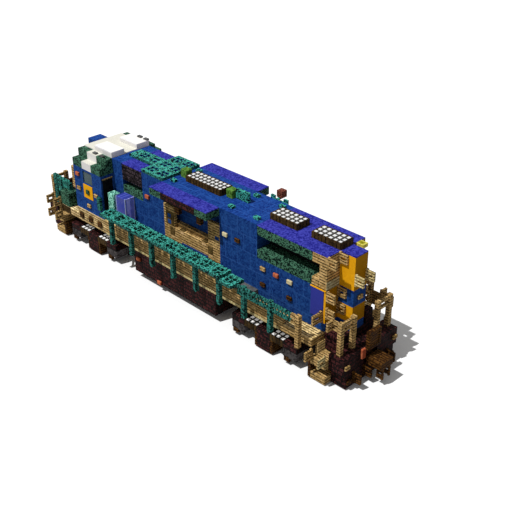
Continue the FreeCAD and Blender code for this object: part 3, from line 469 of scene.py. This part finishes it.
# finishes of the solids that no piece below replaces
NODE_FINISH = {
    "radiator_hood": "blue", "engine_hood": "blue", "front_hood": "blue", "engine_block": "black",
    "plank_frames": "lining", "recess_grilles": "grille", "end_pillars": "yellow", "pillar_bands": "blue",
    "fan_boxes": "bark", "roof_brackets": "teal", "cab_shell": "blue", "cab_windows": "window",
    "cab_roof": "white", "cab_brows": "green", "nose": "maroon", "rail_posts": "post",
    "end_platforms": "maroon", "end_rails": "tan", "steps": "tan", "frame_brackets": "bracket",
    "pilot_plates": "brown",
}
for end, _ in BOGIES:
    NODE_FINISH["coupler_" + end] = "brown"
    NODE_FINISH["bogie_bases_" + end] = "base"
    NODE_FINISH["louvre_boxes_" + end] = "bark"
for side in ("left", "right"):
    NODE_FINISH["cab_door_" + side] = "black"
for fan in ("rear", "second", "centre"):
    NODE_FINISH["fan_rotor_" + fan] = "grey"
for name, key in NODE_FINISH.items():
    for slot in NODES[name].material_slots:
        slot.material = MAT[key]


# ---------------------------------------------------------------- mesh helpers
EDGE = 0.012             # bevel of the blocks in metres
MERGE = 0.0002           # points nearer than this are one
ROUND_STEPS = 48


def once(items):
    """The items in their order, each of them once."""
    return list(dict.fromkeys(items))


def block(bm, x0, x1, y0, y1, z0, z1, material=0, edge=EDGE):
    """A box between two corners in metres with its edges rounded off.

    material is the number of its finish in the piece's list.
    """
    low = Vector((min(x0, x1), min(y0, y1), min(z0, z1)))
    high = Vector((max(x0, x1), max(y0, y1), max(z0, z1)))
    place = Matrix.Translation((low + high) / 2) @ Matrix.Diagonal((*(high - low), 1.0))
    made = bmesh.ops.create_cube(bm, size=1.0, matrix=place)["verts"]
    for face in once(face for vert in made for face in vert.link_faces):
        face.material_index = material
    edges = once(line for vert in made for line in vert.link_edges)
    bmesh.ops.bevel(bm, geom=edges, offset=edge, offset_type="OFFSET", segments=1, profile=0.5,
                    affect="EDGES", material=-1)


def cell_block(bm, x0, x1, y0, y1, z0, z1, material=0, edge=EDGE):
    """The same with its corners counted in blocks."""
    block(bm, at(x0), at(x1), y0 * BLOCK, y1 * BLOCK, z0 * BLOCK, z1 * BLOCK, material, edge)


def pair(bm, x0, x1, y0, y1, z0, z1, material=0, edge=EDGE):
    """One such block on each side of the locomotive."""
    for s in SIDES:
        cell_block(bm, x0, x1, s * y0, s * y1, z0, z1, material, edge)


def piece(name, bm, finishes, body="body", instead=()):
    """Turns the bmesh into an object that rides on a body and may stand for solids."""
    bmesh.ops.recalc_face_normals(bm, faces=bm.faces)
    mesh = bpy.data.meshes.new(name)
    bm.to_mesh(mesh)
    bm.free()
    made = bpy.data.objects.new(name, mesh)
    scene.collection.objects.link(made)
    for key in finishes:
        mesh.materials.append(MAT[key])
    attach(made, body)
    if instead:
        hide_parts(*instead)


# ---------------------------------------------------------------- lattice plates
# where the bars' edges cross one block, and which of the strips between them are open
LATTICE_LINES = (0.0, 0.22, 0.46, 0.54, 0.78)
OPEN_CELLS = (1, 3)
ON_RIM = 0.001           # metres from the plate's edge
UPRIGHT_LIMIT = 0.5
WALKWAY_REAR, WALKWAY_FRONT, WALKWAY_STEP = 8, 19, 7


def lattice(bm, x0, x1, y0, y1, z0, z1):
    """A plate with four square holes in each block, its corners counted in blocks.

    Its flat faces have the piece's first finish, the rim the second and the holes' walls the third.
    """
    per = len(LATTICE_LINES)
    long, wide = round(x1 - x0), round(y1 - y0)
    made = bmesh.ops.create_grid(bm, x_segments=long * per, y_segments=wide * per, size=0.5)["verts"]
    place = {vert: (round((vert.co.x + 0.5) * long * per), round((vert.co.y + 0.5) * wide * per))
             for vert in made}
    holes, kept = [], []
    for face in once(face for vert in made for face in vert.link_faces):
        i = min(place[vert][0] for vert in face.verts)
        j = min(place[vert][1] for vert in face.verts)
        is_open = i % per in OPEN_CELLS and j % per in OPEN_CELLS
        (holes if is_open else kept).append(face)
    for vert, (i, j) in place.items():
        vert.co.x = at(x0 + i // per + LATTICE_LINES[i % per])
        vert.co.y = (y0 + j // per + LATTICE_LINES[j % per]) * BLOCK
        vert.co.z = z0 * BLOCK
    bmesh.ops.delete(bm, geom=holes, context="FACES_ONLY")
    raised = bmesh.ops.extrude_face_region(bm, geom=kept)["geom"]
    verts = [item for item in raised if isinstance(item, bmesh.types.BMVert)]
    bmesh.ops.translate(bm, verts=verts, vec=(0.0, 0.0, (z1 - z0) * BLOCK))
    bm.normal_update()
    for face in bm.faces:
        spot = face.calc_center_median()
        rim_x = min(abs(spot.x - at(x0)), abs(spot.x - at(x1)))
        rim_y = min(abs(spot.y - y0 * BLOCK), abs(spot.y - y1 * BLOCK))
        if abs(face.normal.z) < UPRIGHT_LIMIT and face.material_index == 0:
            face.material_index = 1 if min(rim_x, rim_y) < ON_RIM else 2


bm = bmesh.new()
for s in SIDES:
    y0, y1 = sorted((s * BODY_HALF, s * WALKWAY_HALF))
    lattice(bm, WALKWAY_REAR, WALKWAY_FRONT, y0, y1, RAIL_TOP, RAIL_TOP + PLATE)
    lattice(bm, WALKWAY_STEP, WALKWAY_REAR, y0, y1, RAIL_TOP - PLATE, RAIL_TOP)
# the rims and the holes' walls take the darker teal of the posts, painted shade on the plates' thin sides
piece("walkway_lattice", bm, ["teal", "post", "post"], instead=["rail_tops"])

bm = bmesh.new()
lattice(bm, 15, 17, -HOOD_HALF, HOOD_HALF, ROOF, ROOF + PLATE)
lattice(bm, 17, 19, -PILLAR_HALF, PILLAR_HALF, ROOF, ROOF + PLATE)
cell_block(bm, 19, 19.5, -PILLAR_HALF, PILLAR_HALF, ROOF, ROOF + PLATE)
# the rim takes the darker teal of the posts, painted shade on the plate's thin sides
piece("roof_lattice_plates", bm, ["teal", "post", "blue"], instead=["roof_lattice"])


# ---------------------------------------------------------------- deck
# the centre pivots' pin and disc: radius and drop under the deck in metres
PIVOT_TURNINGS = ((0.160, 0.420), (0.380, 0.060))
LIP_TOP = 2.16           # of the straw coloured lip along the deck's lower edge
TANK_LOW = 0.49
bm = bmesh.new()
cell_block(bm, 2, 25, -BODY_HALF, BODY_HALF, DECK_LOW, DECK_TOP)
pair(bm, 4, 23, BODY_HALF - PLATE, BODY_HALF, DECK_TOP, SILL_TOP)
for _, middle in BOGIES:
    for radius, drop in PIVOT_TURNINGS:
        place = Matrix.Translation((at(middle), 0.0, DECK_LOW * BLOCK - drop / 2))
        bmesh.ops.create_cone(bm, cap_ends=True, segments=ROUND_STEPS, radius1=radius, radius2=radius,
                              depth=drop, matrix=place)
pair(bm, 4.3, PALE_DECK, BODY_HALF, 2.508, DECK_LOW, LIP_TOP, 1, 0.002)
piece("deck_and_sills", bm, ["deck", "straw"], instead=["underframe"])
bm = bmesh.new()
cell_block(bm, 9.4, 17, -BODY_HALF, BODY_HALF, TANK_LOW, DECK_LOW)
piece("tank_shell", bm, ["maroon"], instead=["fuel_tank"])
bm = bmesh.new()
cell_block(bm, 0.98, 2.0, -1.49, 1.49, DECK_LOW, DECK_TOP)
piece("platform_slab", bm, ["maroon"])


# ---------------------------------------------------------------- roof sheets
# undersides of the thin sheets, of what packs them up and of the hatch beams
SHEET, PACKING, BEAM = ROOF - 1 / 16, ROOF - 0.135, ROOF - 0.5
SHEET_EDGE = 0.005
bm = bmesh.new()
cell_block(bm, 2, 7, -HOOD_HALF, HOOD_HALF, SHEET, ROOF, 0, SHEET_EDGE)
cell_block(bm, 1, 2, -PILLAR_HALF, PILLAR_HALF, SHEET, ROOF, 0, SHEET_EDGE)
pair(bm, 10, 15, HOOD_HALF, BODY_HALF, SHEET, ROOF, 0, SHEET_EDGE)
pair(bm, 17, 19, PILLAR_HALF, HOOD_HALF, SHEET, ROOF, 0, SHEET_EDGE)
# flat indigo plates on the hood's sides by the open corner
pair(bm, 2.3, 3.0, HOOD_HALF, 1.54, 3.25, 3.8, 1, 0.003)
pair(bm, 2.15, 3.0, HOOD_HALF, 1.54, 3.8, 4.95, 1, 0.003)
piece("roof_sheets", bm, ["indigo", "panel"], instead=["trim_plates", "roof_hatches"])
BEAM_FINISHES = ["green", "tan", "yellow", "maroon", "grille", "brown"]
GREEN, TAN, YELLOW, MAROON, GRILLE, BROWN = range(len(BEAM_FINISHES))
# what shows under the sheets' edges: rear, front, inner, outer, bottom, finish
UNDER_SHEETS = (
    (3, 7, PILLAR_HALF, HOOD_HALF, PACKING, GREEN), (10, 11, HOOD_HALF, BODY_HALF, BEAM, GREEN),
    (14, 15, HOOD_HALF, BODY_HALF, BEAM, GREEN), (2, 3, PILLAR_HALF, HOOD_HALF, PACKING, TAN),
    (1, 2, 0.0, PILLAR_HALF, PACKING, YELLOW), (2, 3, 0.0, PILLAR_HALF, PACKING, YELLOW),
    (11, 14, HOOD_HALF, BODY_HALF, BEAM, MAROON), (17, 19, PILLAR_HALF, HOOD_HALF, PACKING, GRILLE))
# green shelves under and over the hood's openings
SHELF_LOW, SHELF_TOP = 5.0, 5.5
OVER_LOW = 6.4
SHELF_EDGE = 0.006
bm = bmesh.new()
for x0, x1, y0, y1, low, key in UNDER_SHEETS:
    pair(bm, x0, x1, y0, y1, low, SHEET, key, 0.004)
for x in (11.1, 13.0):
    pair(bm, x - PLATE, x + PLATE, 1.875, 2.125, BEAM - 0.75, BEAM, BROWN, 0.01)
pair(bm, 3, 7, PILLAR_HALF, HOOD_HALF, SHELF_LOW, SHELF_TOP, GREEN, SHELF_EDGE)
pair(bm, 3, 7, PILLAR_HALF, HOOD_HALF, OVER_LOW, PACKING, GREEN, SHELF_EDGE)
pair(bm, 17, 19, 1.0, HOOD_HALF, SHELF_LOW, SHELF_TOP, GREEN, SHELF_EDGE)
pair(bm, 2.0, 3.05, HOOD_HALF, 1.56, 4.94, SHELF_LOW, YELLOW, 0.003)
piece("shelves_and_beams", bm, BEAM_FINISHES, instead=["green_panels", "hatch_beams"])


# ---------------------------------------------------------------- peg grilles
# in blocks
PEG_ROWS = 3
PEG_PITCH = 1 / PEG_ROWS
PEG_HALF = 3 / 32
PLATE_MARGIN = 0.03
# in metres: how far pegs and plate reach into the box and stand out of it
SUNK, PEG_RISE, PLATE_RISE = 0.02, 0.03, 0.008


def pegs(bm, x0, y0, floor):
    """Nine raised white pegs on one block's dark plate; floor is the box's top in metres."""
    for i in range(PEG_ROWS):
        for j in range(PEG_ROWS):
            x = x0 + (i + 0.5) * PEG_PITCH
            y = y0 + (j + 0.5) * PEG_PITCH
            block(bm, at(x - PEG_HALF), at(x + PEG_HALF), (y - PEG_HALF) * BLOCK, (y + PEG_HALF) * BLOCK,
                  floor - SUNK, floor + PEG_RISE, 0, 0.005)


def dark_plate(bm, x0, x1, y0, y1, floor):
    """The dark plate under the pegs, which leaves a rim of the box's boards free."""
    cell_block(bm, x0 + PLATE_MARGIN, x1 - PLATE_MARGIN, y0 + PLATE_MARGIN, y1 - PLATE_MARGIN,
               (floor - SUNK) / BLOCK, (floor + PLATE_RISE) / BLOCK, 1, 0.003)


FAN_BOXES = ((2, 4), (5, 7), (11, 14))
FAN_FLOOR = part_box("fan_boxes")[1].z - PEG_RISE
bm = bmesh.new()
for x0, x1 in FAN_BOXES:
    dark_plate(bm, x0, x1, -PILLAR_HALF, PILLAR_HALF, FAN_FLOOR)
    for x in range(x0, x1):
        pegs(bm, x, -PILLAR_HALF, FAN_FLOOR)
piece("fan_grilles", bm, ["pegs", "charcoal"])

MIDDLE_BLOCK_HALF = 0.5
CLASP_HALF = 0.2
for end, middle in BOGIES:
    box_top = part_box("louvre_boxes_" + end)[1].z
    bm = bmesh.new()
    for s in SIDES:
        for x0 in (middle - MIDDLE_BLOCK_HALF - 1, middle + MIDDLE_BLOCK_HALF):
            y0, y1 = sorted((s * HOOD_HALF, s * BODY_HALF))
            dark_plate(bm, x0, x0 + 1, y0, y1, box_top)
            pegs(bm, x0, y0, box_top)
    # the louvre pegs take the self-lit white, painted light against the deck's shadow
    piece("louvre_pegs_" + end, bm, ["bright", "charcoal"], body="bogie_" + end)
    # brown plates on both faces of the middle block, brown clasps under the axle boxes
    bm = bmesh.new()
    for way in (1, -1):
        pair(bm, middle + way * MIDDLE_BLOCK_HALF, middle + way * (MIDDLE_BLOCK_HALF + PLATE), HOOD_HALF,
             BODY_HALF, 0.1, 1.0)
        clasp = middle + way * 2.0 + 0.25
        pair(bm, clasp - CLASP_HALF, clasp + CLASP_HALF, 2.3, BODY_HALF, 0.2, 0.56)
    piece("bogie_plates_" + end, bm, ["brown"], body="bogie_" + end)

# the bogie frames, with their outer blocks no higher than the pegs beside them
OUTER_BLOCK_TOP = 1.4
CUT_ABOVE, CUT_OUTSIDE = 1.9, 1.4        # height and half width past which points come down
for end, _ in BOGIES:
    frame_node = "bogie_frame_" + end
    bm = bmesh.new()
    bm.from_mesh(NODES[frame_node].data)
    bmesh.ops.remove_doubles(bm, verts=bm.verts, dist=MERGE)
    for vert in bm.verts:
        if vert.co.z > CUT_ABOVE * BLOCK and abs(vert.co.y) > CUT_OUTSIDE * BLOCK:
            vert.co.z = OUTER_BLOCK_TOP * BLOCK
    for face in bm.faces:
        face.material_index = 0
    piece("bogie_blocks_" + end, bm, ["maroon"], body="bogie_" + end, instead=[frame_node])


# ---------------------------------------------------------------- latches
# half length, half height and thickness of a latch
LATCH_LONG, LATCH_TALL, LATCH_THICK = 0.375 / 2, 0.25 / 2, 0.125
LATCH_EDGE = 0.02
LATCH_FINISHES = ["tan", "cream", "orange", "brown"]
TAN, CREAM, ORANGE, BROWN = range(len(LATCH_FINISHES))
# station, height and finish of each latch on the sides of the hood and of the body
HOOD_LATCHES = (
    (4.5, 3.5, BROWN), (6.5, 3.5, BROWN), (4.5, 4.5, CREAM), (5.5, 4.5, ORANGE), (6.5, 4.5, TAN),
    (8.5, 5.5, BROWN), (9.5, 5.5, CREAM), (16.5, 5.5, ORANGE))
BODY_LATCHES = (
    (22.5, 5.5, ORANGE), (22.5, 4.5, TAN), (21.5, 3.5, TAN), (20.6, 4.5, TAN), (14.5, 0.62, ORANGE),
    (16.5, 1.5, ORANGE))
# station of the face, place across, height, finish
END_LATCHES = ((0.0, 2.0, 1.5, TAN), (0.0, -2.0, 1.5, TAN), (0.0, 1.8, 0.5, BROWN), (0.0, -1.8, 0.5, BROWN),
               (1.0, 0.0, 4.5, TAN))
bm = bmesh.new()
for half, latches in ((HOOD_HALF, HOOD_LATCHES), (BODY_HALF, BODY_LATCHES)):
    for x, z, key in latches:
        pair(bm, x - LATCH_LONG, x + LATCH_LONG, half, half + LATCH_THICK, z - LATCH_TALL, z + LATCH_TALL,
             key, LATCH_EDGE)
for x, y, z, key in END_LATCHES:
    cell_block(bm, x - LATCH_THICK, x, y - LATCH_LONG, y + LATCH_LONG, z - LATCH_TALL, z + LATCH_TALL,
               key, LATCH_EDGE)
# square brown ones on the deck's edge under the cab, and the orange handle beside the rear coupler
for x in (20.5, 21.5, 22.5):
    pair(bm, x - CLASP_HALF, x + CLASP_HALF, BODY_HALF, BODY_HALF + LATCH_THICK, 2.32, 2.68, BROWN,
         LATCH_EDGE)
cell_block(bm, -0.15, 0.0, 0.6, 0.9, 1.5, 2.1, ORANGE, LATCH_EDGE)
piece("latch_blocks", bm, LATCH_FINISHES, instead=["latches"])


# ---------------------------------------------------------------- hatch bay fittings
BAY_FINISHES = ["walnut", "honey", "blue"]
WALNUT, HONEY, BLUE = range(len(BAY_FINISHES))
bm = bmesh.new()
# clasps with a shorter lip under them, the lower pair first
LIP_FRONT = 0.12
for x in (14.24, 10.82):
    pair(bm, x - CLASP_HALF, x + CLASP_HALF, HOOD_HALF, 1.54, 3.70, 4.18, WALNUT, 0.01)
    pair(bm, x - CLASP_HALF, x + LIP_FRONT, HOOD_HALF, 1.53, 3.52, 3.66, HONEY, 0.008)
for x in (13.40, 11.42):
    pair(bm, x - CLASP_HALF, x + CLASP_HALF, 1.27, 1.49, 4.25, 4.31, WALNUT, 0.006)
    pair(bm, x - CLASP_HALF, x + LIP_FRONT, HOOD_HALF, 1.52, 4.06, 4.20, HONEY, 0.006)
# dark board with two blue openings by the front upright, one more opening by the rear upright, and
# the blue strip under the frame
# the board is walnut brown, darker than the tan lining, painted shade from the beam over it
pair(bm, 14.04, 14.8, HOOD_HALF, 1.515, 4.3, 5.22, WALNUT, 0.004)
for z in (4.53, 4.93):
    pair(bm, 14.33, 14.63, 1.515, 1.525, z - 0.13, z + 0.13, BLUE, 0.003)
pair(bm, 10.08, 10.42, HOOD_HALF, 1.515, 4.82, 5.04, BLUE, 0.003)
pair(bm, 11.05, 13.4, HOOD_HALF, 1.512, 3.05, 3.48, BLUE, 0.003)
piece("bay_clasps", bm, BAY_FINISHES)


# ---------------------------------------------------------------- walkway equipment
CABINET_REAR, CABINET_FRONT, CABINET_INNER, CABINET_OUTER, CABINET_TOP = 17.9, 18.85, 1.52, 2.25, 5.05
EDGE_STRIP, STRIP_RISE = 0.05, 0.01
bm = bmesh.new()
pair(bm, 6.9, 8.9, HOOD_HALF, 2.3, DECK_TOP, 3.0)
piece("battery_boxes", bm, ["grey"], instead=["deck_cabinets"])
bm = bmesh.new()
pair(bm, 24.0, 25.0, 1.65, BODY_HALF, DECK_TOP, 3.5)
piece("front_boxes", bm, ["green"], instead=["deck_cabinets"])
bm = bmesh.new()
cell_block(bm, 19.05, 19.65, 1.75, 2.3, DECK_TOP, 5.0, edge=0.02)
piece("mint_column", bm, ["mint"], instead=["deck_cabinets"])
bm = bmesh.new()
cell_block(bm, CABINET_REAR, CABINET_FRONT, CABINET_INNER, CABINET_OUTER, DECK_TOP, CABINET_TOP, edge=0.02)
piece("violet_cabinet", bm, ["violet"], instead=["deck_cabinets"])
bm = bmesh.new()
for x in (CABINET_REAR, CABINET_FRONT - EDGE_STRIP):
    for y in (CABINET_OUTER - EDGE_STRIP, CABINET_INNER):
        cell_block(bm, x - STRIP_RISE, x + EDGE_STRIP + STRIP_RISE, y, y + EDGE_STRIP + STRIP_RISE,
                   DECK_TOP, CABINET_TOP + STRIP_RISE, 0, 0.004)
piece("cabinet_edges", bm, ["frost"])


# ---------------------------------------------------------------- roof boxes
CUBE_HALF = 0.25
BELL_STATION, BELL_SIDE, BELL_HALF = 8.5, -2.0, 0.215
bm = bmesh.new()
for x in (10.5, 14.5):
    cell_block(bm, x - CUBE_HALF, x + CUBE_HALF, -CUBE_HALF, CUBE_HALF, ROOF, ROOF + 2 * CUBE_HALF)
piece("green_cubes", bm, ["moss"], instead=["roof_boxes"])
bm = bmesh.new()
cell_block(bm, BELL_STATION - BELL_HALF, BELL_STATION + BELL_HALF, BELL_SIDE - BELL_HALF,
           BELL_SIDE + BELL_HALF, ROOF, ROOF + 2 * BELL_HALF)
piece("bell_cube", bm, ["rust"], instead=["roof_boxes"])
bm = bmesh.new()
# the lamp's body and its lens
cell_block(bm, 1.5, 1.98, -1.12, -0.7, ROOF - 0.2, ROOF + 0.03, 0, 0.015)
cell_block(bm, 1.6, 1.95, -1.0, -0.76, ROOF, ROOF + 0.05, 1, 0.006)
piece("marker_lamp", bm, ["lamp", "olive"], instead=["roof_boxes"])


# ---------------------------------------------------------------- cab details
bm = bmesh.new()
# the yellow plate, the dark green latch on it and the board over the doorway
pair(bm, 21.0, 22.0, BODY_HALF, 2.54, 4.0, 4.95, 0, 0.006)
pair(bm, 21.33, 21.67, 2.54, 2.62, 4.33, 4.64, 1, 0.015)
pair(bm, 20.0, 20.06, 1.55, 2.45, 5.68, 5.82, 2, 0.006)
piece("cab_side_plates", bm, ["yellow", "latch", "tan"])
bm = bmesh.new()
# up the cab's front corners, over the rear steps and beside the right rear rail post
pair(bm, 23.0, 23.28, 2.25, BODY_HALF, 4.3, 5.83, 0, 0.006)
pair(bm, 1.0, 1.06, 2.58, 3.15, 2.42, 3.08, 0, 0.01)
cell_block(bm, 1.8, 2.39, -3.03, -2.97, 2.1, 3.0, 0, 0.01)
piece("upright_boards", bm, ["tan"])
bm = bmesh.new()
pair(bm, 23.95, 25.0, BODY_HALF, 2.512, DECK_LOW, DECK_TOP, 0, 0.003)
piece("deck_edge_plates", bm, ["bark"])

# close lattice and a post between the front rails' bars, with a tan latch on the lattice
RAIL_FINISHES = ["teal", "post", "tan"]
TEAL, POST, TAN = range(len(RAIL_FINISHES))
FILL_TOP = 4.19
bm = bmesh.new()
pair(bm, 24.5, 26.36, 1.97, 2.03, 3.0, FILL_TOP, TEAL, 0.004)
pair(bm, 25.98, 26.36, 1.9, 2.1, 2.05, FILL_TOP, POST, 0.006)
# a row of small blocks between the side rails' bars
FIRST_FILLING, FILLING_PITCH, FILLINGS = 3.1, 0.25, 16
for k in range(FILLINGS):
    x = FIRST_FILLING + k * FILLING_PITCH
    pair(bm, x, x + 0.08, 2.96, 3.04, 3.5, 3.8, POST, 0.004)
pair(bm, 25.4, 25.68, 2.03, 2.11, 3.24, 3.46, TAN, 0.01)
piece("rail_fillings", bm, RAIL_FINISHES)

# small grey latches on the right roof slab and on the brows over the cab sides
SLAB_TOP = 7.375
bm = bmesh.new()
for x in (20.85, 20.2):
    cell_block(bm, x - 0.19, x + 0.19, -1.57, -1.33, SLAB_TOP, SLAB_TOP + 0.1, 0, 0.015)
for x in (20.62, 21.35):
    pair(bm, x - 0.17, x + 0.17, 1.68, 1.92, ROOF, ROOF + 0.1, 0, 0.015)
piece("roof_latches", bm, ["grey"])
bm = bmesh.new()
cell_block(bm, 22.99, 24.006, -0.506, 0.506, 6.45, ROOF + 0.006, 0, 0.008)
piece("front_pillar_cap", bm, ["blue"])

# pale boards on the open corner's lower slab
bm = bmesh.new()
pair(bm, 1.975, 2.0, PILLAR_HALF, HOOD_HALF, SHELF_LOW, SHELF_TOP, 0, 0.004)
piece("pale_corner_boards", bm, ["pale"])

# raised rim of the plate over the rear coupler, level bars first
RIM_REAR, RIM_FRONT, RIM_EDGE = -PLATE - 0.045, -PLATE, 0.01
bm = bmesh.new()
for z0, z1 in ((1.92, 2.08), (2.84, 3.0)):
    cell_block(bm, RIM_REAR, RIM_FRONT, -PILLAR_HALF, PILLAR_HALF, z0, z1, 0, RIM_EDGE)
pair(bm, RIM_REAR, RIM_FRONT, 0.34, PILLAR_HALF, 2.08, 2.84, 0, RIM_EDGE)
piece("coupler_plate_rim", bm, ["brown"])


# ---------------------------------------------------------------- wheels
# radius, distance from the middle: one wheel's outline from bore to bore
WHEEL_OUTLINE = ((0.086, 0.655), (0.150, 0.655), (0.165, 0.700), (0.400, 0.725), (0.440, 0.690),
                 (0.500, 0.682), (0.528, 0.682), (0.536, 0.690), (0.534, 0.703), (0.512, 0.712),
                 (0.507, 0.815), (0.500, 0.820), (0.440, 0.818), (0.410, 0.775), (0.170, 0.755),
                 (0.150, 0.835), (0.086, 0.840))
AXLE_OUTLINE = ((0.0, 1.63), (0.070, 1.63), (0.0845, 1.615), (0.0845, 1.30), (0.078, 1.28), (0.078, 0.86),
                (0.084, 0.84), (0.084, 0.60), (0.072, 0.50), (0.072, 0.0))
TREAD = 0.47             # radius from which a wheel is bright
AXLE_END = 1.0           # distance from the middle beyond which an axle is bright


def turned(bm, outline, centre, side):
    """Spins an outline of (radius, distance) round the axle's line."""
    verts = [bm.verts.new(centre + Vector((radius, side * out, 0.0))) for radius, out in outline]
    edges = [bm.edges.new(ends) for ends in zip(verts, verts[1:])]
    bmesh.ops.spin(bm, geom=verts + edges, cent=centre, axis=(0.0, 1.0, 0.0), dvec=(0.0, 0.0, 0.0),
                   angle=2 * math.pi, steps=ROUND_STEPS, use_merge=True)


for end, _ in BOGIES:
    for k in (1, 2, 3):
        node = "wheelset_%s_%d" % (end, k)
        low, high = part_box(node)
        centre = Vector(((low.x + high.x) / 2, 0.0, (low.z + high.z) / 2))
        bm = bmesh.new()
        for s in SIDES:
            turned(bm, WHEEL_OUTLINE, centre, s)
            turned(bm, AXLE_OUTLINE, centre, s)
        bmesh.ops.remove_doubles(bm, verts=bm.verts, dist=MERGE)
        for face in bm.faces:
            spot = face.calc_center_median() - centre
            bright = math.hypot(spot.x, spot.z) > TREAD or abs(spot.y) > AXLE_END
            face.material_index = 0 if bright else 1
            face.smooth = True
        piece("wheels_%s_%d" % (end, k), bm, ["steel", "iron"], body=node,
              instead=[node])


# ---------------------------------------------------------------- floor and sky
FLOOR_HALF = 300.0
FLOOR_SHADE = 0.35       # what the floor throws back on the locomotive
bm = bmesh.new()
bmesh.ops.create_grid(bm, x_segments=1, y_segments=1, size=FLOOR_HALF,
                      matrix=Matrix.Translation((0.0, 0.0, cad_low[2])))
floor_mesh = bpy.data.meshes.new("floor")
bm.to_mesh(floor_mesh)
bm.free()
floor = bpy.data.objects.new("floor", floor_mesh)
scene.collection.objects.link(floor)


def seen(tree):
    """1 for what the camera sees, directly or in a mirror or glass."""
    path = add(tree, "ShaderNodeLightPath")
    glossy = calc(tree, "MAXIMUM", path.outputs["Is Camera Ray"], path.outputs["Is Glossy Ray"])
    return calc(tree, "MAXIMUM", glossy, path.outputs["Is Transmission Ray"])


floor_paint = bpy.data.materials.new("pale floor")
floor_paint.use_nodes = True
tree = floor_paint.node_tree
shader = tree.nodes["Principled BSDF"]
shader.inputs["Roughness"].default_value = 1.0
shader.inputs["Specular IOR Level"].default_value = 0.0
put(tree, shader.inputs["Base Color"],
    blend_colours(tree, seen(tree), (FLOOR_SHADE, FLOOR_SHADE, FLOOR_SHADE, 1.0), (*WHITE, 1.0)))
floor_mesh.materials.append(floor_paint)

world = bpy.data.worlds.new("sky")
scene.world = world
world.use_nodes = True
tree = world.node_tree
background = tree.nodes["Background"]
level = add(tree, "ShaderNodeMapRange", To_Min=SKY_STRENGTH, To_Max=1.0)
put(tree, level.inputs["Value"], seen(tree))
put(tree, background.inputs["Strength"], level.outputs[0])
background.inputs["Color"].default_value = (*WHITE, 1.0)
